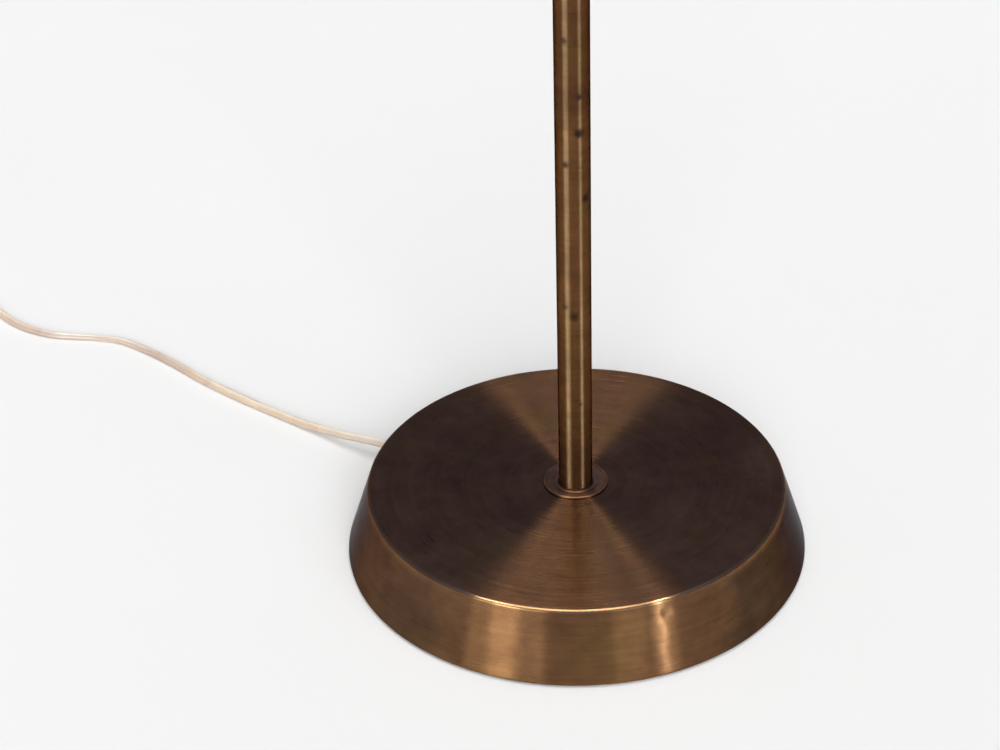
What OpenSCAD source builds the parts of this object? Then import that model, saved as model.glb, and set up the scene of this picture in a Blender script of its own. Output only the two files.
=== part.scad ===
// Floor lamp with a round weighted base, a telescopic pole, a swing arm and a tilting shade.
// Millimetres, +Z up. The origin is on the floor, on the pole's axis, and the arm points along +X.

/* [Base] */
// Outside diameter of the base shell where its side reaches the floor
base_d = 250; // [240:1:280]
// Outside diameter of the base shell at its flat top
base_top_d = 225; // [205:1:232]
// Height of the base's flat top above the floor
base_h = 40; // [38:0.5:50]
// Sheet thickness of the base shell
shell_t = 1.2; // [0.8:0.1:1.6]
// Outside radius of the shell's top edge
shell_edge_r = 2; // [1.8:0.1:4]
// Gap between the shell's rim and the floor
rim_gap = 1; // [0.5:0.1:1.5]
// Width of the hem turned in at the shell's rim
hem_w = 4; // [2:0.5:6]
// Thickness of the iron weight
weight_t = 16; // [12:0.5:17]
// Diameter of the weight's screw posts
post_d = 12; // [9:0.5:18]
// Diameter of the circle that the screw posts stand on
post_circle_d = 150; // [110:1:180]
// Thickness of the steel cover plate
cover_t = 1.5; // [1:0.1:2]
// Thickness of the felt pad
felt_t = 3; // [2.5:0.1:3.5]

/* [Fasteners] */
// Thread diameter of the cover screws
cover_screw_d = 4; // [3:0.5:5]
// Head diameter of the cover screws
cover_screw_head_d = 7.5; // [7:0.5:9]
// Head height of the cover screws
cover_screw_head_h = 2; // [1.5:0.1:2.2]
// Shank length of the cover screws
cover_screw_l = 12; // [8:0.5:14]
// Thread diameter of the hollow stud, the head's nipple and the swivel post's end
stud_d = 10; // [9:0.5:11]
// Bore of every hollow piece that the lead runs through
lead_bore_d = 6.4; // [6.2:0.1:6.8]
// Width across flats of the stud's nuts
nut_af = 17; // [15:0.5:18]
// Height of the stud's nuts
nut_h = 5; // [4:0.5:5.5]
// Diameter of the washer under the weight
washer_d = 30; // [24:1:40]
// Thickness of the washer under the weight
washer_t = 2; // [1.5:0.1:2.5]
// Diameter of the toothed lock washer
lock_d = 20; // [19:0.5:22]
// Thickness of the toothed lock washer
lock_t = 1; // [0.6:0.1:1.2]

/* [Pole] */
// Outside diameter of the lower pole
pole_d = 18; // [17.6:0.1:19]
// Wall of the lower pole
pole_wall = 1; // [0.8:0.1:1.1]
// Height of the lower pole's top above the floor
pole_top = 700; // [640:5:760]
// Length of the threaded plug in the pole's foot
foot_plug_l = 30; // [22:1:40]
// Outside diameter of the turned ring at the pole's foot
ring_d = 35; // [32:0.5:44]
// Diameter of the ring's inner rim
ring_rim_d = 23; // [22:0.5:26]
// Height of the ring's bead and rim
ring_h = 1.4; // [1.2:0.1:2.5]
// Thickness of the ring's valley between bead and rim
ring_valley_t = 0.6; // [0.4:0.1:1]
// Outside diameter of the sliding inner pole
mast_d = 14; // [13.6:0.1:14.2]
// Wall of the inner pole
mast_wall = 1.2; // [1:0.1:1.4]
// Length of the inner pole
mast_l = 700; // [650:5:720]
// Height of the inner pole's top above the floor at rest
mast_top = 1195; // [1180:5:1215]
// Length of the nylon bush at the inner pole's foot
bush_l = 24; // [18:1:32]
// Thickness of the bush's end lip
bush_lip_t = 3; // [2:0.5:5]

/* [Height clamp] */
// Outside diameter of the clamp collar
clamp_d = 25; // [23:0.5:30]
// Length of the collar's skirt over the lower pole
clamp_skirt_l = 18; // [12:1:26]
// Height of the collar above the lower pole
clamp_head_l = 16; // [14:1:22]
// Diameter of the boss that the clamp screw goes through
clamp_boss_d = 11; // [9:0.5:13]
// Distance from the pole's axis to the boss's end face
clamp_boss_r = 17; // [16:0.5:20]
// Thread diameter of the clamp screw
clamp_screw_d = 5; // [4:0.5:6]
// Diameter of the clamp screw's knob
clamp_knob_d = 18; // [15:0.5:24]
// Length of the clamp screw's knob
clamp_knob_l = 9; // [7:0.5:14]
// Turning room between the boss and the knob
clamp_room = 3; // [2:0.5:5]
// Length of the nylon tip on the clamp screw
clamp_tip_l = 2; // [1.5:0.1:2.5]
// Number of grooves round the knob
clamp_knob_grooves = 24; // [16:1:30]

/* [Arm] */
// Distance from the pole's axis to the head's tilting axis
arm_reach = 320; // [260:5:380]
// Outside diameter of the arm tube
arm_d = 10; // [9.6:0.1:11]
// Wall of the arm tube
arm_wall = 1; // [0.8:0.1:1.2]
// Outside diameter of the arm's hub
hub_d = 30; // [28:0.5:34]
// Diameter of the hub's cavity
hub_cavity_d = 22; // [21:0.5:23]
// Thickness of the hub's floor round the journal
hub_floor_t = 12; // [8:0.5:18]
// Diameter of the journal that the hub turns on
journal_d = 12; // [11.5:0.1:13]
// Diameter of the swivel post's flange
post_flange_d = 22; // [18:0.5:28]
// Thickness of the swivel post's flange
post_flange_t = 4; // [3:0.5:6]
// Length of the swivel post's plug in the inner pole
post_plug_l = 22; // [15:1:30]
// Diameter of the swivel's friction washers
friction_d = 20; // [18:0.5:21]
// Thickness of the swivel's friction washers
friction_t = 1; // [0.6:0.1:1.5]
// Length of the hub cap's spigot
cap_spigot_l = 4; // [3:0.5:6]
// Height of the hub cap's dome
cap_dome_h = 7; // [5:0.5:10]
// Diameter of the ball on the hub cap
cap_ball_d = 9; // [7:0.5:12]
// Outside diameter of the ring where the arm enters the hub
ferrule_d = 15; // [13:0.5:18]
// Length of that ring beyond the hub
ferrule_l = 8; // [5:0.5:14]

/* [Tilting joint] */
// Diameter of the drum that the head tilts on
knuckle_d = 18; // [17:0.5:20]
// Width of the drum
knuckle_w = 14; // [12:0.5:15]
// Length of the drum's socket for the arm tube
socket_l = 14; // [10:0.5:20]
// Wall of the drum's socket
socket_wall = 1; // [0.8:0.1:1.1]
// Diameter of the tilt bolt
tilt_d = 5; // [4:0.5:5]
// Thickness of each ear of the fork
ear_t = 3.8; // [3:0.1:5]
// Length of the fork below the tilting axis
fork_l = 26; // [25:0.5:32]
// Depth that the nipple is screwed into the fork
nipple_in = 10; // [8:0.5:10]
// Diameter of the tilt washers
tilt_washer_d = 11; // [10:0.5:13]
// Thickness of the tilt washers
tilt_washer_t = 0.8; // [0.5:0.1:1.2]
// Head height of the tilt bolt
tilt_head_h = 3.2; // [2.5:0.1:4]
// Length of the tilt nut
tilt_nut_l = 7; // [6:0.5:9]

/* [Shade] */
// Outside diameter of the shade at its mouth
shade_d = 230; // [210:1:250]
// Outside diameter of the shade's neck
shade_neck_d = 52; // [50:0.5:56]
// Length of the neck down to where it flares
shade_neck_l = 55; // [52:1:62]
// Angle of the flare from the vertical
shade_flare = 40; // [38:0.5:43]
// Sheet thickness of the shade
shade_t = 0.8; // [0.6:0.1:1]
// Radius of the neck's top edge
shade_top_r = 6; // [4:0.5:9]
// Radius of the cove between neck and flare
shade_cove_r = 12; // [8:0.5:18]
// Diameter of the bead rolled at the mouth
shade_bead_d = 3.6; // [3:0.1:5]
// Diameter of the vent holes in the neck
vent_d = 5; // [3:0.5:6]
// Number of vent holes
vent_count = 10; // [6:1:14]
// Depth of the vent holes below the neck's top
vent_drop = 44; // [40:1:46]
// Diameter of the washer that seats the shade under the fork
seat_d = 30; // [25:0.5:36]
// Thickness of that washer
seat_t = 1.5; // [1:0.1:2.5]

/* [Lamp holder] */
// Outside diameter of the lamp holder
holder_d = 38; // [37:0.5:40]
// Wall of the lamp holder's cap
holder_wall = 3; // [2.5:0.1:3.2]
// Height of the lamp holder's cap
holder_cap_h = 25; // [24:0.5:27]
// Height of the lamp holder's body
holder_body_h = 32; // [30:0.5:34]
// Inside diameter of the threaded sleeve
sleeve_d = 27; // [26.8:0.1:27.4]
// Sheet thickness of the threaded sleeve
sleeve_t = 0.4; // [0.3:0.1:0.6]
// Thickness of the ceramic disc behind the sleeve
insert_t = 4; // [3:0.5:5]
// Diameter of the bulb's widest part
bulb_d = 60; // [50:1:64]
// Diameter of the bulb's neck
bulb_neck_d = 24.8; // [24:0.1:25]
// Radius of the bulb's shoulder
bulb_shoulder_r = 36; // [30:1:44]
// Wall of the bulb's glass
bulb_wall = 0.8; // [0.6:0.1:1.2]
// Outside diameter of the bulb's screw cap over its thread
bulb_cap_d = 26.2; // [25.8:0.1:26.4]
// Length of the bulb's screw cap
bulb_cap_l = 22; // [20:0.5:24]

/* [Switch] */
// Diameter of the switch spindle
spindle_d = 4; // [3:0.5:5]
// Diameter of the switch knob
switch_knob_d = 15; // [13:0.5:20]
// Length of the switch knob
switch_knob_l = 12; // [10:0.5:16]
// Number of grooves round the switch knob
switch_knob_grooves = 18; // [12:1:24]
// Diameter of the bush that the spindle turns in
switch_bush_d = 8; // [7:0.5:10]
// Diameter of the bush's flange
switch_flange_d = 13; // [12:0.5:16]
// Diameter of the cam inside the lamp holder
cam_d = 10; // [8:0.5:11]
// Thickness of the cam
cam_t = 5; // [4:0.5:6]
// Thickness of the contact leaves
leaf_t = 0.4; // [0.3:0.1:0.6]

/* [Cord] */
// Width of the flat cord
cord_w = 4.8; // [4.4:0.1:5]
// Thickness of the flat cord
cord_t = 2.4; // [2.1:0.1:2.5]
// Diameter of the round lead inside the pole, the arm and the head
lead_d = 5; // [4.6:0.1:5.4]
// Direction in which the cord leaves the base, from +X
exit_az = 142; // [138:1:146]
// Height of the cord's bush above the floor
gland_z = 10.5; // [10.3:0.1:12]
// Diameter of the bush's neck in the shell
gland_d = 9; // [8.6:0.1:10]
// Diameter of the bush's inner flange
gland_flange_d = 11; // [10.6:0.1:11.4]
// Length of the bush's taper outside the shell
gland_l = 11; // [10:0.5:14]
// Diameter of the taper's outer end
gland_tip_d = 7.6; // [7:0.1:8.2]
// Middle radius of the coil's outermost turn
coil_r = 40.5; // [40:0.5:46]
// Radial step of the coil from turn to turn
coil_pitch = 4.4; // [4.4:0.1:4.6]
// Whole turns of the coil
coil_turns = 8; // [7:1:8]
// Thickness of the strap round the coil
tie_t = 0.8; // [0.6:0.1:1]
// Width of the strap round the coil
tie_w = 8; // [6:0.5:12]
// Width of the plug's body
plug_w = 35; // [32:0.5:38]
// Thickness of the plug's body
plug_t = 13.6; // [12:0.1:15]
// Length of the plug's body
plug_l = 36; // [32:0.5:42]
// Length of the plug's tapered sleeve round the cord
plug_boot_l = 24; // [20:0.5:32]
// Diameter of the plug's pins
pin_d = 4; // [3.8:0.1:4.2]
// Length of the plug's pins
pin_l = 19; // [18:0.5:20]
// Distance between the plug's pins
pin_pitch = 18.6; // [17:0.1:19]

/* [Fits] */
// Radial clearance of pieces that are fixed together
fit = 0.05; // [0.03:0.01:0.1]
// Radial clearance of pieces that turn or slide on each other
run = 0.06; // [0.04:0.01:0.1]
// Clearance between pieces that pass each other
gap = 0.3; // [0.2:0.05:0.4]
// Radial clearance of a screw or stud in a plain hole
hole_gap = 0.4; // [0.3:0.1:0.6]
// Gap between the weight's edge and the shell
weight_gap = 1; // [0.6:0.1:2]

/* [Hidden] */
$fn = 64;
// Overlap that joins two shapes of one piece, and overrun of a cut past a face
join = 1;
// Radius of the grooves round the knobs
groove_r = 0.8;
// Width and depth of the cover screws' slots
screw_slot = 1;

// Slope of the shell's side from the vertical
side_a = atan((base_d - base_top_d) / 2 / base_h);
cover_top = felt_t + cover_t;
weight_top = base_h - shell_t;
weight_bottom = weight_top - weight_t;
rim_r = side_r(rim_gap, 0);
cover_r = rim_r - hem_w - gap;
stud_r = stud_d / 2;
lead_bore_r = lead_bore_d / 2;
// Directions of the screw posts, which leave the cord's way free
post_az = [exit_az + 60, exit_az + 180, exit_az + 300];
nut_top = weight_bottom - washer_t - lock_t;
stud_bottom = nut_top - nut_h - join;
stud_top = base_h + foot_plug_l - join;

pole_r = pole_d / 2;
pole_bore_r = pole_r - pole_wall;
mast_r = mast_d / 2;
mast_bore_r = mast_r - mast_wall;
mast_bottom = mast_top - mast_l;
clamp_top = pole_top + clamp_head_l;
clamp_z = pole_top + clamp_head_l / 2;
clamp_tip_r = mast_r + gap;

journal_r = journal_d / 2;
flange_top = mast_top + post_flange_t;
hub_bottom = flange_top + friction_t;
hub_floor_top = hub_bottom + hub_floor_t;
swivel_nut_z = hub_floor_top + gap + friction_t;
post_top = swivel_nut_z + nut_h + join;
arm_r = arm_d / 2;
arm_z = post_top + gap + arm_r;
hub_top = arm_z + arm_r + gap + cap_spigot_l;
hub_r = hub_d / 2;
hub_cavity_r = hub_cavity_d / 2;
hub_chamfer = 1;

knuckle_r = knuckle_d / 2;
// Radius of the drum's core inside its slot for the lead
knuckle_core_r = tilt_d / 2 + 1.6;
arm_end = arm_reach - knuckle_r - join;
ear_in = knuckle_w / 2 + gap;
ear_out = ear_in + ear_t;
fork_slot_z = -(knuckle_r + 3);
// Half diagonal of the fork's rounded plan
fork_corner_r = norm([knuckle_r, ear_out]) - 1.6;

// Heights in the head count from the tilting axis
seat_bottom = -(fork_l + seat_t);
shade_top = seat_bottom;
shade_neck_r = shade_neck_d / 2;
shade_nut_top = shade_top - shade_t;
holder_top = shade_nut_top - nut_h - gap;
holder_r = holder_d / 2;
holder_cavity_r = holder_r - holder_wall;
holder_ceiling = holder_top - holder_wall;
holder_joint = holder_top - holder_cap_h;
holder_bottom = holder_joint - holder_body_h;
nipple_bottom = holder_ceiling - join;
sleeve_r = sleeve_d / 2;
insert_r = sleeve_r + sleeve_t + fit;
insert_bottom = holder_joint - insert_t;
contact_t = 1.5;
bulb_tip = insert_bottom - contact_t - gap;
// Height of the bulb's contact over its screw cap
bulb_tip_h = 4.5;
bulb_cap_top = bulb_tip - bulb_tip_h;
bulb_cap_bottom = bulb_cap_top - bulb_cap_l;
// Depth of the glass neck in the screw cap
bulb_neck_in = 14;
bulb_neck_r = bulb_neck_d / 2;
bulb_r = bulb_d / 2;
bulb_shoulder_x = bulb_neck_r + bulb_shoulder_r;
bulb_drop = sqrt(pow(bulb_r + bulb_shoulder_r, 2) - pow(bulb_shoulder_x, 2));
bulb_a = atan(bulb_drop / bulb_shoulder_x);
bulb_arc_top = bulb_cap_bottom - join;
shade_flare_top = shade_top - shade_neck_l;
shade_arc_r = shade_neck_r + shade_cove_r * (1 - cos(shade_flare));
shade_arc_z = shade_flare_top - shade_cove_r * sin(shade_flare);
shade_mouth = shade_arc_z - (shade_d / 2 - shade_arc_r) / tan(shade_flare);

switch_z = holder_top - holder_cap_h / 2 - join;
cam_in = -(lead_d / 2 + 3);
cam_out = cam_in - cam_t;
bush_in = -(holder_r + gap);
bush_out = -(shade_neck_r + 2);
knob_in = bush_out - gap;
knob_out = knob_in - switch_knob_l;
spindle_out = knob_out + 3;

gland_shell_r = side_r(gland_z, 0);
gland_tip_r = gland_shell_r + gland_l;
gland_bore_r = cord_w / 2 + 0.15;
gland_in_r = side_r(gland_z, shell_t) - 5;
// Distance from the pole's axis to the cord clamp under the weight
clamp_block_r = 70;
clamp_block = [12, 26, 6];
clamp_screw_pitch = 17;
clamp_bolt_r = 1.5;
clamp_bolt_head_r = 2.8;
clamp_bolt_head_h = 2;
// Depth of the cord clamp's screws in the weight
clamp_bolt_in = 7;

// Middle of the coil on the floor, its first layer's height and its layer step
coil_at = [-418, 265];
coil_z = cord_w / 2 + tie_t + 0.2;
coil_layer = cord_w + 0.6;
// Direction from the coil's middle to its first and its last turn's end
coil_in_az = 39;
coil_out_az = 90;
coil_total = coil_turns + (coil_out_az - coil_in_az) / 360;
// Part of a turn in which the coil climbs to its upper layer
coil_climb = 0.26;
coil_sides = 6;
coil_rings = 24;
tie_az = 215;
plug_end_x = -470;
plug_z = plug_t / 2;
plug_face_x = plug_end_x - plug_boot_l - plug_l;

// Free stretch of the cord on the floor from the bush to the coil: x, y, z and roll
cord_route = [
    [-122, 92, 9, 50],
    [-132, 99, 7, 50],
    [-142, 107, 5, 50],
    [-152, 114.5, 3.4, 50],
    [-163, 123, 2.5, 50],
    [-180, 136, 2.3, 50],
    [-200, 152, 2.3, 50],
    [-220, 169.5, 2.3, 48],
    [-240, 189.5, 2.2, 42],
    [-258, 205.5, 2, 32],
    [-274, 217, 1.7, 18],
    [-290, 222, 1.5, 5],
    [-306, 224.5, 1.5, 5],
    [-320, 227.5, 1.7, 15],
    [-334, 234, 2, 35],
    [-346, 243, 2.3, 50],
    [-356, 254, 2.7, 65],
    [-368, 268, 3.1, 80]
];

// Radius of the base's side at height z, moved inward by a distance square to the side
function side_r(z, inset) = base_top_d / 2 + (base_h - z) * tan(side_a) - inset / cos(side_a);

// Points of an arc about [cx, cy] from angle a0 to angle a1
function arc(cx, cy, r, a0, a1, steps) = [
    for (i = [0:steps])
        let (a = a0 + (a1 - a0) * i / steps)
        [cx + r * cos(a), cy + r * sin(a)]
];

function unit(v) = v / norm(v);

// Point between p[i + 1] and p[i + 2] of a smooth curve through the points
function spline_point(p, i, t) = 0.5 * (2 * p[i + 1] + (p[i + 2] - p[i]) * t
    + (2 * p[i] - 5 * p[i + 1] + 4 * p[i + 2] - p[i + 3]) * t * t
    + (3 * p[i + 1] - p[i] - 3 * p[i + 2] + p[i + 3]) * t * t * t);

// Smooth curve through the points, with its first and last directions given
function spline(p, first, last, steps) =
    let (
        n = len(p),
        q = concat([p[1] - first], p, [p[n - 2] + last])
    )
    concat([
        for (i = [0:n - 2])
            for (k = [0:steps - 1])
                spline_point(q, i, k / steps)
    ], [p[n - 1]]);

function xyz(v) = [v[0], v[1], v[2]];

// Direction of a swept path at point i, with the directions of its ends given
function sweep_heading(c, first, last, i) =
    i == 0 ? unit(first) : i == len(c) - 1 ? unit(last) : unit(c[i + 1] - c[i - 1]);

// One ring of the flat cord's oval, square to its direction
function cord_ring(centre, along, wide, sides) =
    let (
        thin = unit(cross(along, wide)),
        broad = cross(thin, along)
    )
    [
        for (k = [0:sides - 1])
            let (a = 360 * k / sides)
            centre + broad * cord_w / 2 * cos(a) + thin * cord_t / 2 * sin(a)
    ];

// Flat cord swept through centre points, with the direction of its width at each
module flat_cord(c, wides, first, last, sides) {
    rings = len(c);
    points = [
        for (i = [0:rings - 1])
            each cord_ring(c[i], sweep_heading(c, first, last, i), wides[i], sides)
    ];
    skin = [
        for (i = [0:rings - 2])
            for (k = [0:sides - 1])
                let (
                    a = i * sides + k,
                    b = i * sides + (k + 1) % sides
                )
                each [[a, a + sides, b], [b, a + sides, b + sides]]
    ];
    ends = [
        for (k = [1:sides - 2])
            let (e = (rings - 1) * sides)
            each [[0, k, k + 1], [e, e + k + 1, e + k]]
    ];
    polyhedron(points = points, faces = concat(skin, ends), convexity = 10);
}

// Coil of the cord: middle of the cord after a number of turns
function coil_point(turn) =
    let (
        a = coil_in_az + 360 * turn,
        r = coil_r - coil_pitch * min(turn, coil_total - turn),
        s = max(0, min(1, (turn - coil_total / 2) / coil_climb + 0.5))
    )
    [coil_at[0] + r * cos(a), coil_at[1] + r * sin(a), coil_z + coil_layer * s * s * (3 - 2 * s)];

function coil_heading(az) = [-sin(az), cos(az), 0];

// Middle of the coil's straight ends, one cord width beyond its turns
function coil_start() = coil_point(0) - cord_w * coil_heading(coil_in_az);
function coil_end() = coil_point(coil_total) + cord_w * coil_heading(coil_out_az);

// All of the coil's middle points
function coil_path() =
    let (rings = ceil(coil_total * coil_rings))
    concat([coil_start()], [
        for (i = [0:rings])
            coil_point(coil_total * i / rings)
    ], [coil_end()]);

// Least distance between rings that are more than half a turn apart
function coil_gap(rings) = min([
    for (i = [0:len(rings) - 1])
        for (j = [i + coil_rings / 2:1:len(rings) - 1])
            for (p = rings[i])
                if (norm(rings[i][0] - rings[j][0]) < 2 * cord_w)
                    for (q = rings[j])
                        norm(p - q)
]);

// Places in the frame
module toward_exit() {
    rotate([0, 0, exit_az])
        children();
}

module at_head() {
    translate([arm_reach, 0, arm_z])
        children();
}

// Cylinder along X from x0 to x1
module rod_x(r, x0, x1) {
    translate([x0, 0, 0])
        rotate([0, 90, 0])
            cylinder(r = r, h = x1 - x0);
}

// Cylinder along Y from y0 to y1
module rod_y(r, y0, y1) {
    translate([0, y1, 0])
        rotate([90, 0, 0])
            cylinder(r = r, h = y1 - y0);
}

// Upright cylinder from z0 to z1
module rod_z(r, z0, z1) {
    translate([0, 0, z0])
        cylinder(r = r, h = z1 - z0);
}

// Upright ring from z0 to z1
module ring_z(r_in, r_out, z0, z1) {
    difference() {
        rod_z(r_out, z0, z1);
        rod_z(r_in, z0 - join, z1 + join);
    }
}

// Upright hexagon nut on the stud's thread, from z0 upward
module hex_nut(z0) {
    difference() {
        translate([0, 0, z0])
            cylinder(d = nut_af / cos(30), h = nut_h, $fn = 6);
        rod_z(stud_r + fit, z0 - join, z0 + nut_h + join);
    }
}

// Grooves round a knob that lies along Y
module knob_grooves(r, y0, y1, count) {
    for (i = [0:count - 1])
        rotate([0, 360 * i / count, 0])
            translate([r + groove_r * 0.4, 0, 0])
                rod_y(groove_r, y0, y1);
}

// Base

// Spun shell with a rounded top edge, a turned-in hem and holes for the stud and the cord's bush
module base_shell() {
    edge_x = base_top_d / 2 - shell_edge_r * (1 - sin(side_a)) / cos(side_a);
    edge_z = base_h - shell_edge_r;
    hem_top = rim_gap + shell_t;
    outside = arc(edge_x, edge_z, shell_edge_r, 90, side_a, 8);
    inside = arc(edge_x, edge_z, shell_edge_r - shell_t, side_a, 90, 8);
    color("peru")
        difference() {
            rotate_extrude()
                polygon(concat(
                    [[stud_r + hole_gap, weight_top], [stud_r + hole_gap, base_h]],
                    outside,
                    [[rim_r, rim_gap], [rim_r - hem_w, rim_gap], [rim_r - hem_w, hem_top]],
                    [[side_r(hem_top, shell_t), hem_top]],
                    inside
                ));
            toward_exit()
                translate([0, 0, gland_z])
                    rod_x(gland_d / 2 + fit, gland_in_r, gland_tip_r);
        }
}

// Iron disc that fills the top of the shell, with posts down to the cover plate
module base_weight() {
    bolt_top = weight_bottom + clamp_bolt_in + join;
    color("dimgray")
        difference() {
            union() {
                rotate_extrude()
                    polygon([
                        [stud_r + hole_gap, weight_bottom],
                        [side_r(weight_bottom, shell_t + weight_gap), weight_bottom],
                        [side_r(weight_top, shell_t + weight_gap), weight_top],
                        [stud_r + hole_gap, weight_top]
                    ]);
                for (az = post_az)
                    rotate([0, 0, az])
                        translate([post_circle_d / 2, 0, 0])
                            rod_z(post_d / 2, cover_top, weight_bottom + join);
            }
            for (az = post_az)
                rotate([0, 0, az])
                    translate([post_circle_d / 2, 0, 0])
                        rod_z(cover_screw_d / 2 + fit, cover_top - join, cover_top + cover_screw_l);
            toward_exit()
                for (s = [-1, 1])
                    translate([clamp_block_r, s * clamp_screw_pitch / 2, 0])
                        rod_z(clamp_bolt_r + fit, weight_bottom - join, bolt_top);
        }
}

// Steel plate under the weight
module base_cover() {
    color("silver")
        difference() {
            rod_z(cover_r, felt_t, cover_top);
            for (az = post_az)
                rotate([0, 0, az])
                    translate([post_circle_d / 2, 0, 0])
                        rod_z(cover_screw_d / 2 + hole_gap, 0, cover_top + join);
        }
}

// Felt pad with holes for the screw heads
module base_felt() {
    color("darkolivegreen")
        difference() {
            rod_z(cover_r, 0, felt_t);
            for (az = post_az)
                rotate([0, 0, az])
                    translate([post_circle_d / 2, 0, 0])
                        rod_z(cover_screw_head_d / 2 + hole_gap, -join, felt_t + join);
        }
}

// Three pan-head screws
module cover_screws() {
    head_bottom = felt_t - cover_screw_head_h;
    color("silver")
        for (az = post_az)
            rotate([0, 0, az])
                translate([post_circle_d / 2, 0, 0])
                    difference() {
                        union() {
                            rod_z(cover_screw_head_d / 2, head_bottom, felt_t);
                            rod_z(cover_screw_d / 2, felt_t - join, cover_top + cover_screw_l - join);
                        }
                        translate([-cover_screw_head_d, -screw_slot / 2, head_bottom - join])
                            cube([2 * cover_screw_head_d, screw_slot, join + screw_slot]);
                    }
}

// Low ring with a round bead at its edge, a shallow valley and an inner rim
module pole_collar() {
    bead_r = ring_h / 2;
    color("goldenrod")
        union() {
            ring_z(pole_r + fit, ring_d / 2 - bead_r, base_h, base_h + ring_valley_t);
            ring_z(pole_r + fit, ring_rim_d / 2, base_h, base_h + ring_h);
            rotate_extrude()
                translate([ring_d / 2 - bead_r, base_h + bead_r])
                    circle(r = bead_r);
        }
}

// Hollow stud through the base's middle
module pole_stud() {
    color("goldenrod")
        ring_z(lead_bore_r, stud_r, stud_bottom, stud_top);
}

// Threaded plug brazed in the pole's foot
module foot_plug() {
    color("goldenrod")
        ring_z(stud_r + fit, pole_bore_r - fit, base_h, base_h + foot_plug_l);
}

// Plain washer under the weight
module base_washer() {
    color("silver")
        ring_z(stud_r + hole_gap, washer_d / 2, weight_bottom - washer_t, weight_bottom);
}

// Lock washer with teeth round its edge
module lock_washer() {
    teeth = 12;
    tooth = [2.4, 1.6, lock_t];
    color("silver")
        union() {
            ring_z(stud_r + hole_gap, lock_d / 2 - tooth[0] / 2, nut_top, nut_top + lock_t);
            for (i = [0:teeth - 1])
                rotate([0, 0, 360 * i / teeth])
                    translate([lock_d / 2 - tooth[0], -tooth[1] / 2, nut_top])
                        cube(tooth);
        }
}

// Nut on the stud
module base_nut() {
    color("silver")
        hex_nut(nut_top - nut_h);
}

// Pole

// Lower tube of the pole
module lower_pole() {
    color("goldenrod")
        ring_z(pole_bore_r, pole_r, base_h, pole_top);
}

// Turned collar on the lower pole's top, with a boss for the clamp screw
module clamp_collar() {
    r = clamp_d / 2;
    low = pole_top - clamp_skirt_l;
    chamfer = 1.5;
    color("goldenrod")
        difference() {
            union() {
                rotate_extrude()
                    polygon([
                        [pole_r + fit, low],
                        [r - chamfer, low],
                        [r, low + chamfer],
                        [r, clamp_top - chamfer],
                        [r - chamfer, clamp_top],
                        [mast_r + run, clamp_top],
                        [mast_r + run, pole_top],
                        [pole_r + fit, pole_top]
                    ]);
                translate([0, 0, clamp_z])
                    rod_y(clamp_boss_d / 2, -clamp_boss_r, -(mast_r + run + join));
            }
            translate([0, 0, clamp_z])
                rod_y(clamp_screw_d / 2 + run, -clamp_boss_r - join, -mast_r);
        }
}

// Thumb screw of the height clamp
module clamp_knob() {
    knob_y = -(clamp_boss_r + clamp_room);
    knob_end = knob_y - clamp_knob_l;
    color("goldenrod")
        translate([0, 0, clamp_z])
            difference() {
                union() {
                    rod_y(clamp_screw_d / 2, knob_y - join, -(clamp_tip_r + clamp_tip_l));
                    rod_y(clamp_knob_d / 2, knob_end, knob_y);
                }
                knob_grooves(clamp_knob_d / 2, knob_end - join, knob_y + join, clamp_knob_grooves);
            }
}

// Nylon tip that presses on the inner pole
module clamp_tip() {
    color("ivory")
        translate([0, 0, clamp_z])
            rod_y(clamp_screw_d / 2 - gap, -(clamp_tip_r + clamp_tip_l), -clamp_tip_r);
}

// Sliding inner tube
module inner_pole() {
    color("goldenrod")
        ring_z(mast_bore_r, mast_r, mast_bottom, mast_top);
}

// Nylon bush that guides the inner tube's foot in the lower pole
module guide_bush() {
    color("ivory")
        difference() {
            rod_z(pole_bore_r - run, mast_bottom - bush_lip_t, mast_bottom + bush_l - bush_lip_t);
            rod_z(mast_r + fit, mast_bottom, mast_bottom + bush_l);
            rod_z(lead_bore_r, mast_bottom - bush_lip_t - join, mast_bottom + join);
        }
}

// Hollow post in the inner tube's top: plug, flange, journal and threaded end
module swivel_post() {
    color("goldenrod")
        difference() {
            union() {
                rod_z(mast_bore_r - fit, mast_top - post_plug_l, flange_top);
                rod_z(post_flange_d / 2, mast_top, flange_top);
                rod_z(journal_r, mast_top, hub_floor_top + friction_t / 2);
                rod_z(stud_r, mast_top, post_top);
            }
            rod_z(lead_bore_r, mast_top - post_plug_l - join, post_top + join);
        }
}

// Friction washers under and over the hub's floor
module swivel_washers() {
    color("ivory")
        for (z = [flange_top, swivel_nut_z - friction_t])
            ring_z(journal_r + run, friction_d / 2, z, z + friction_t);
}

// Nut that holds the hub on its journal
module swivel_nut() {
    color("silver")
        hex_nut(swivel_nut_z);
}

// Arm

// Hollow hub that turns on the journal
module arm_hub() {
    low = hub_bottom + gap / 2;
    color("goldenrod")
        difference() {
            rotate_extrude()
                polygon([
                    [journal_r + run, low],
                    [hub_r - hub_chamfer, low],
                    [hub_r, low + hub_chamfer],
                    [hub_r, hub_top],
                    [hub_cavity_r, hub_top],
                    [hub_cavity_r, hub_floor_top],
                    [journal_r + run, hub_floor_top]
                ]);
            translate([0, 0, arm_z])
                rod_x(arm_r + fit, 0, hub_r + join);
        }
}

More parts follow.
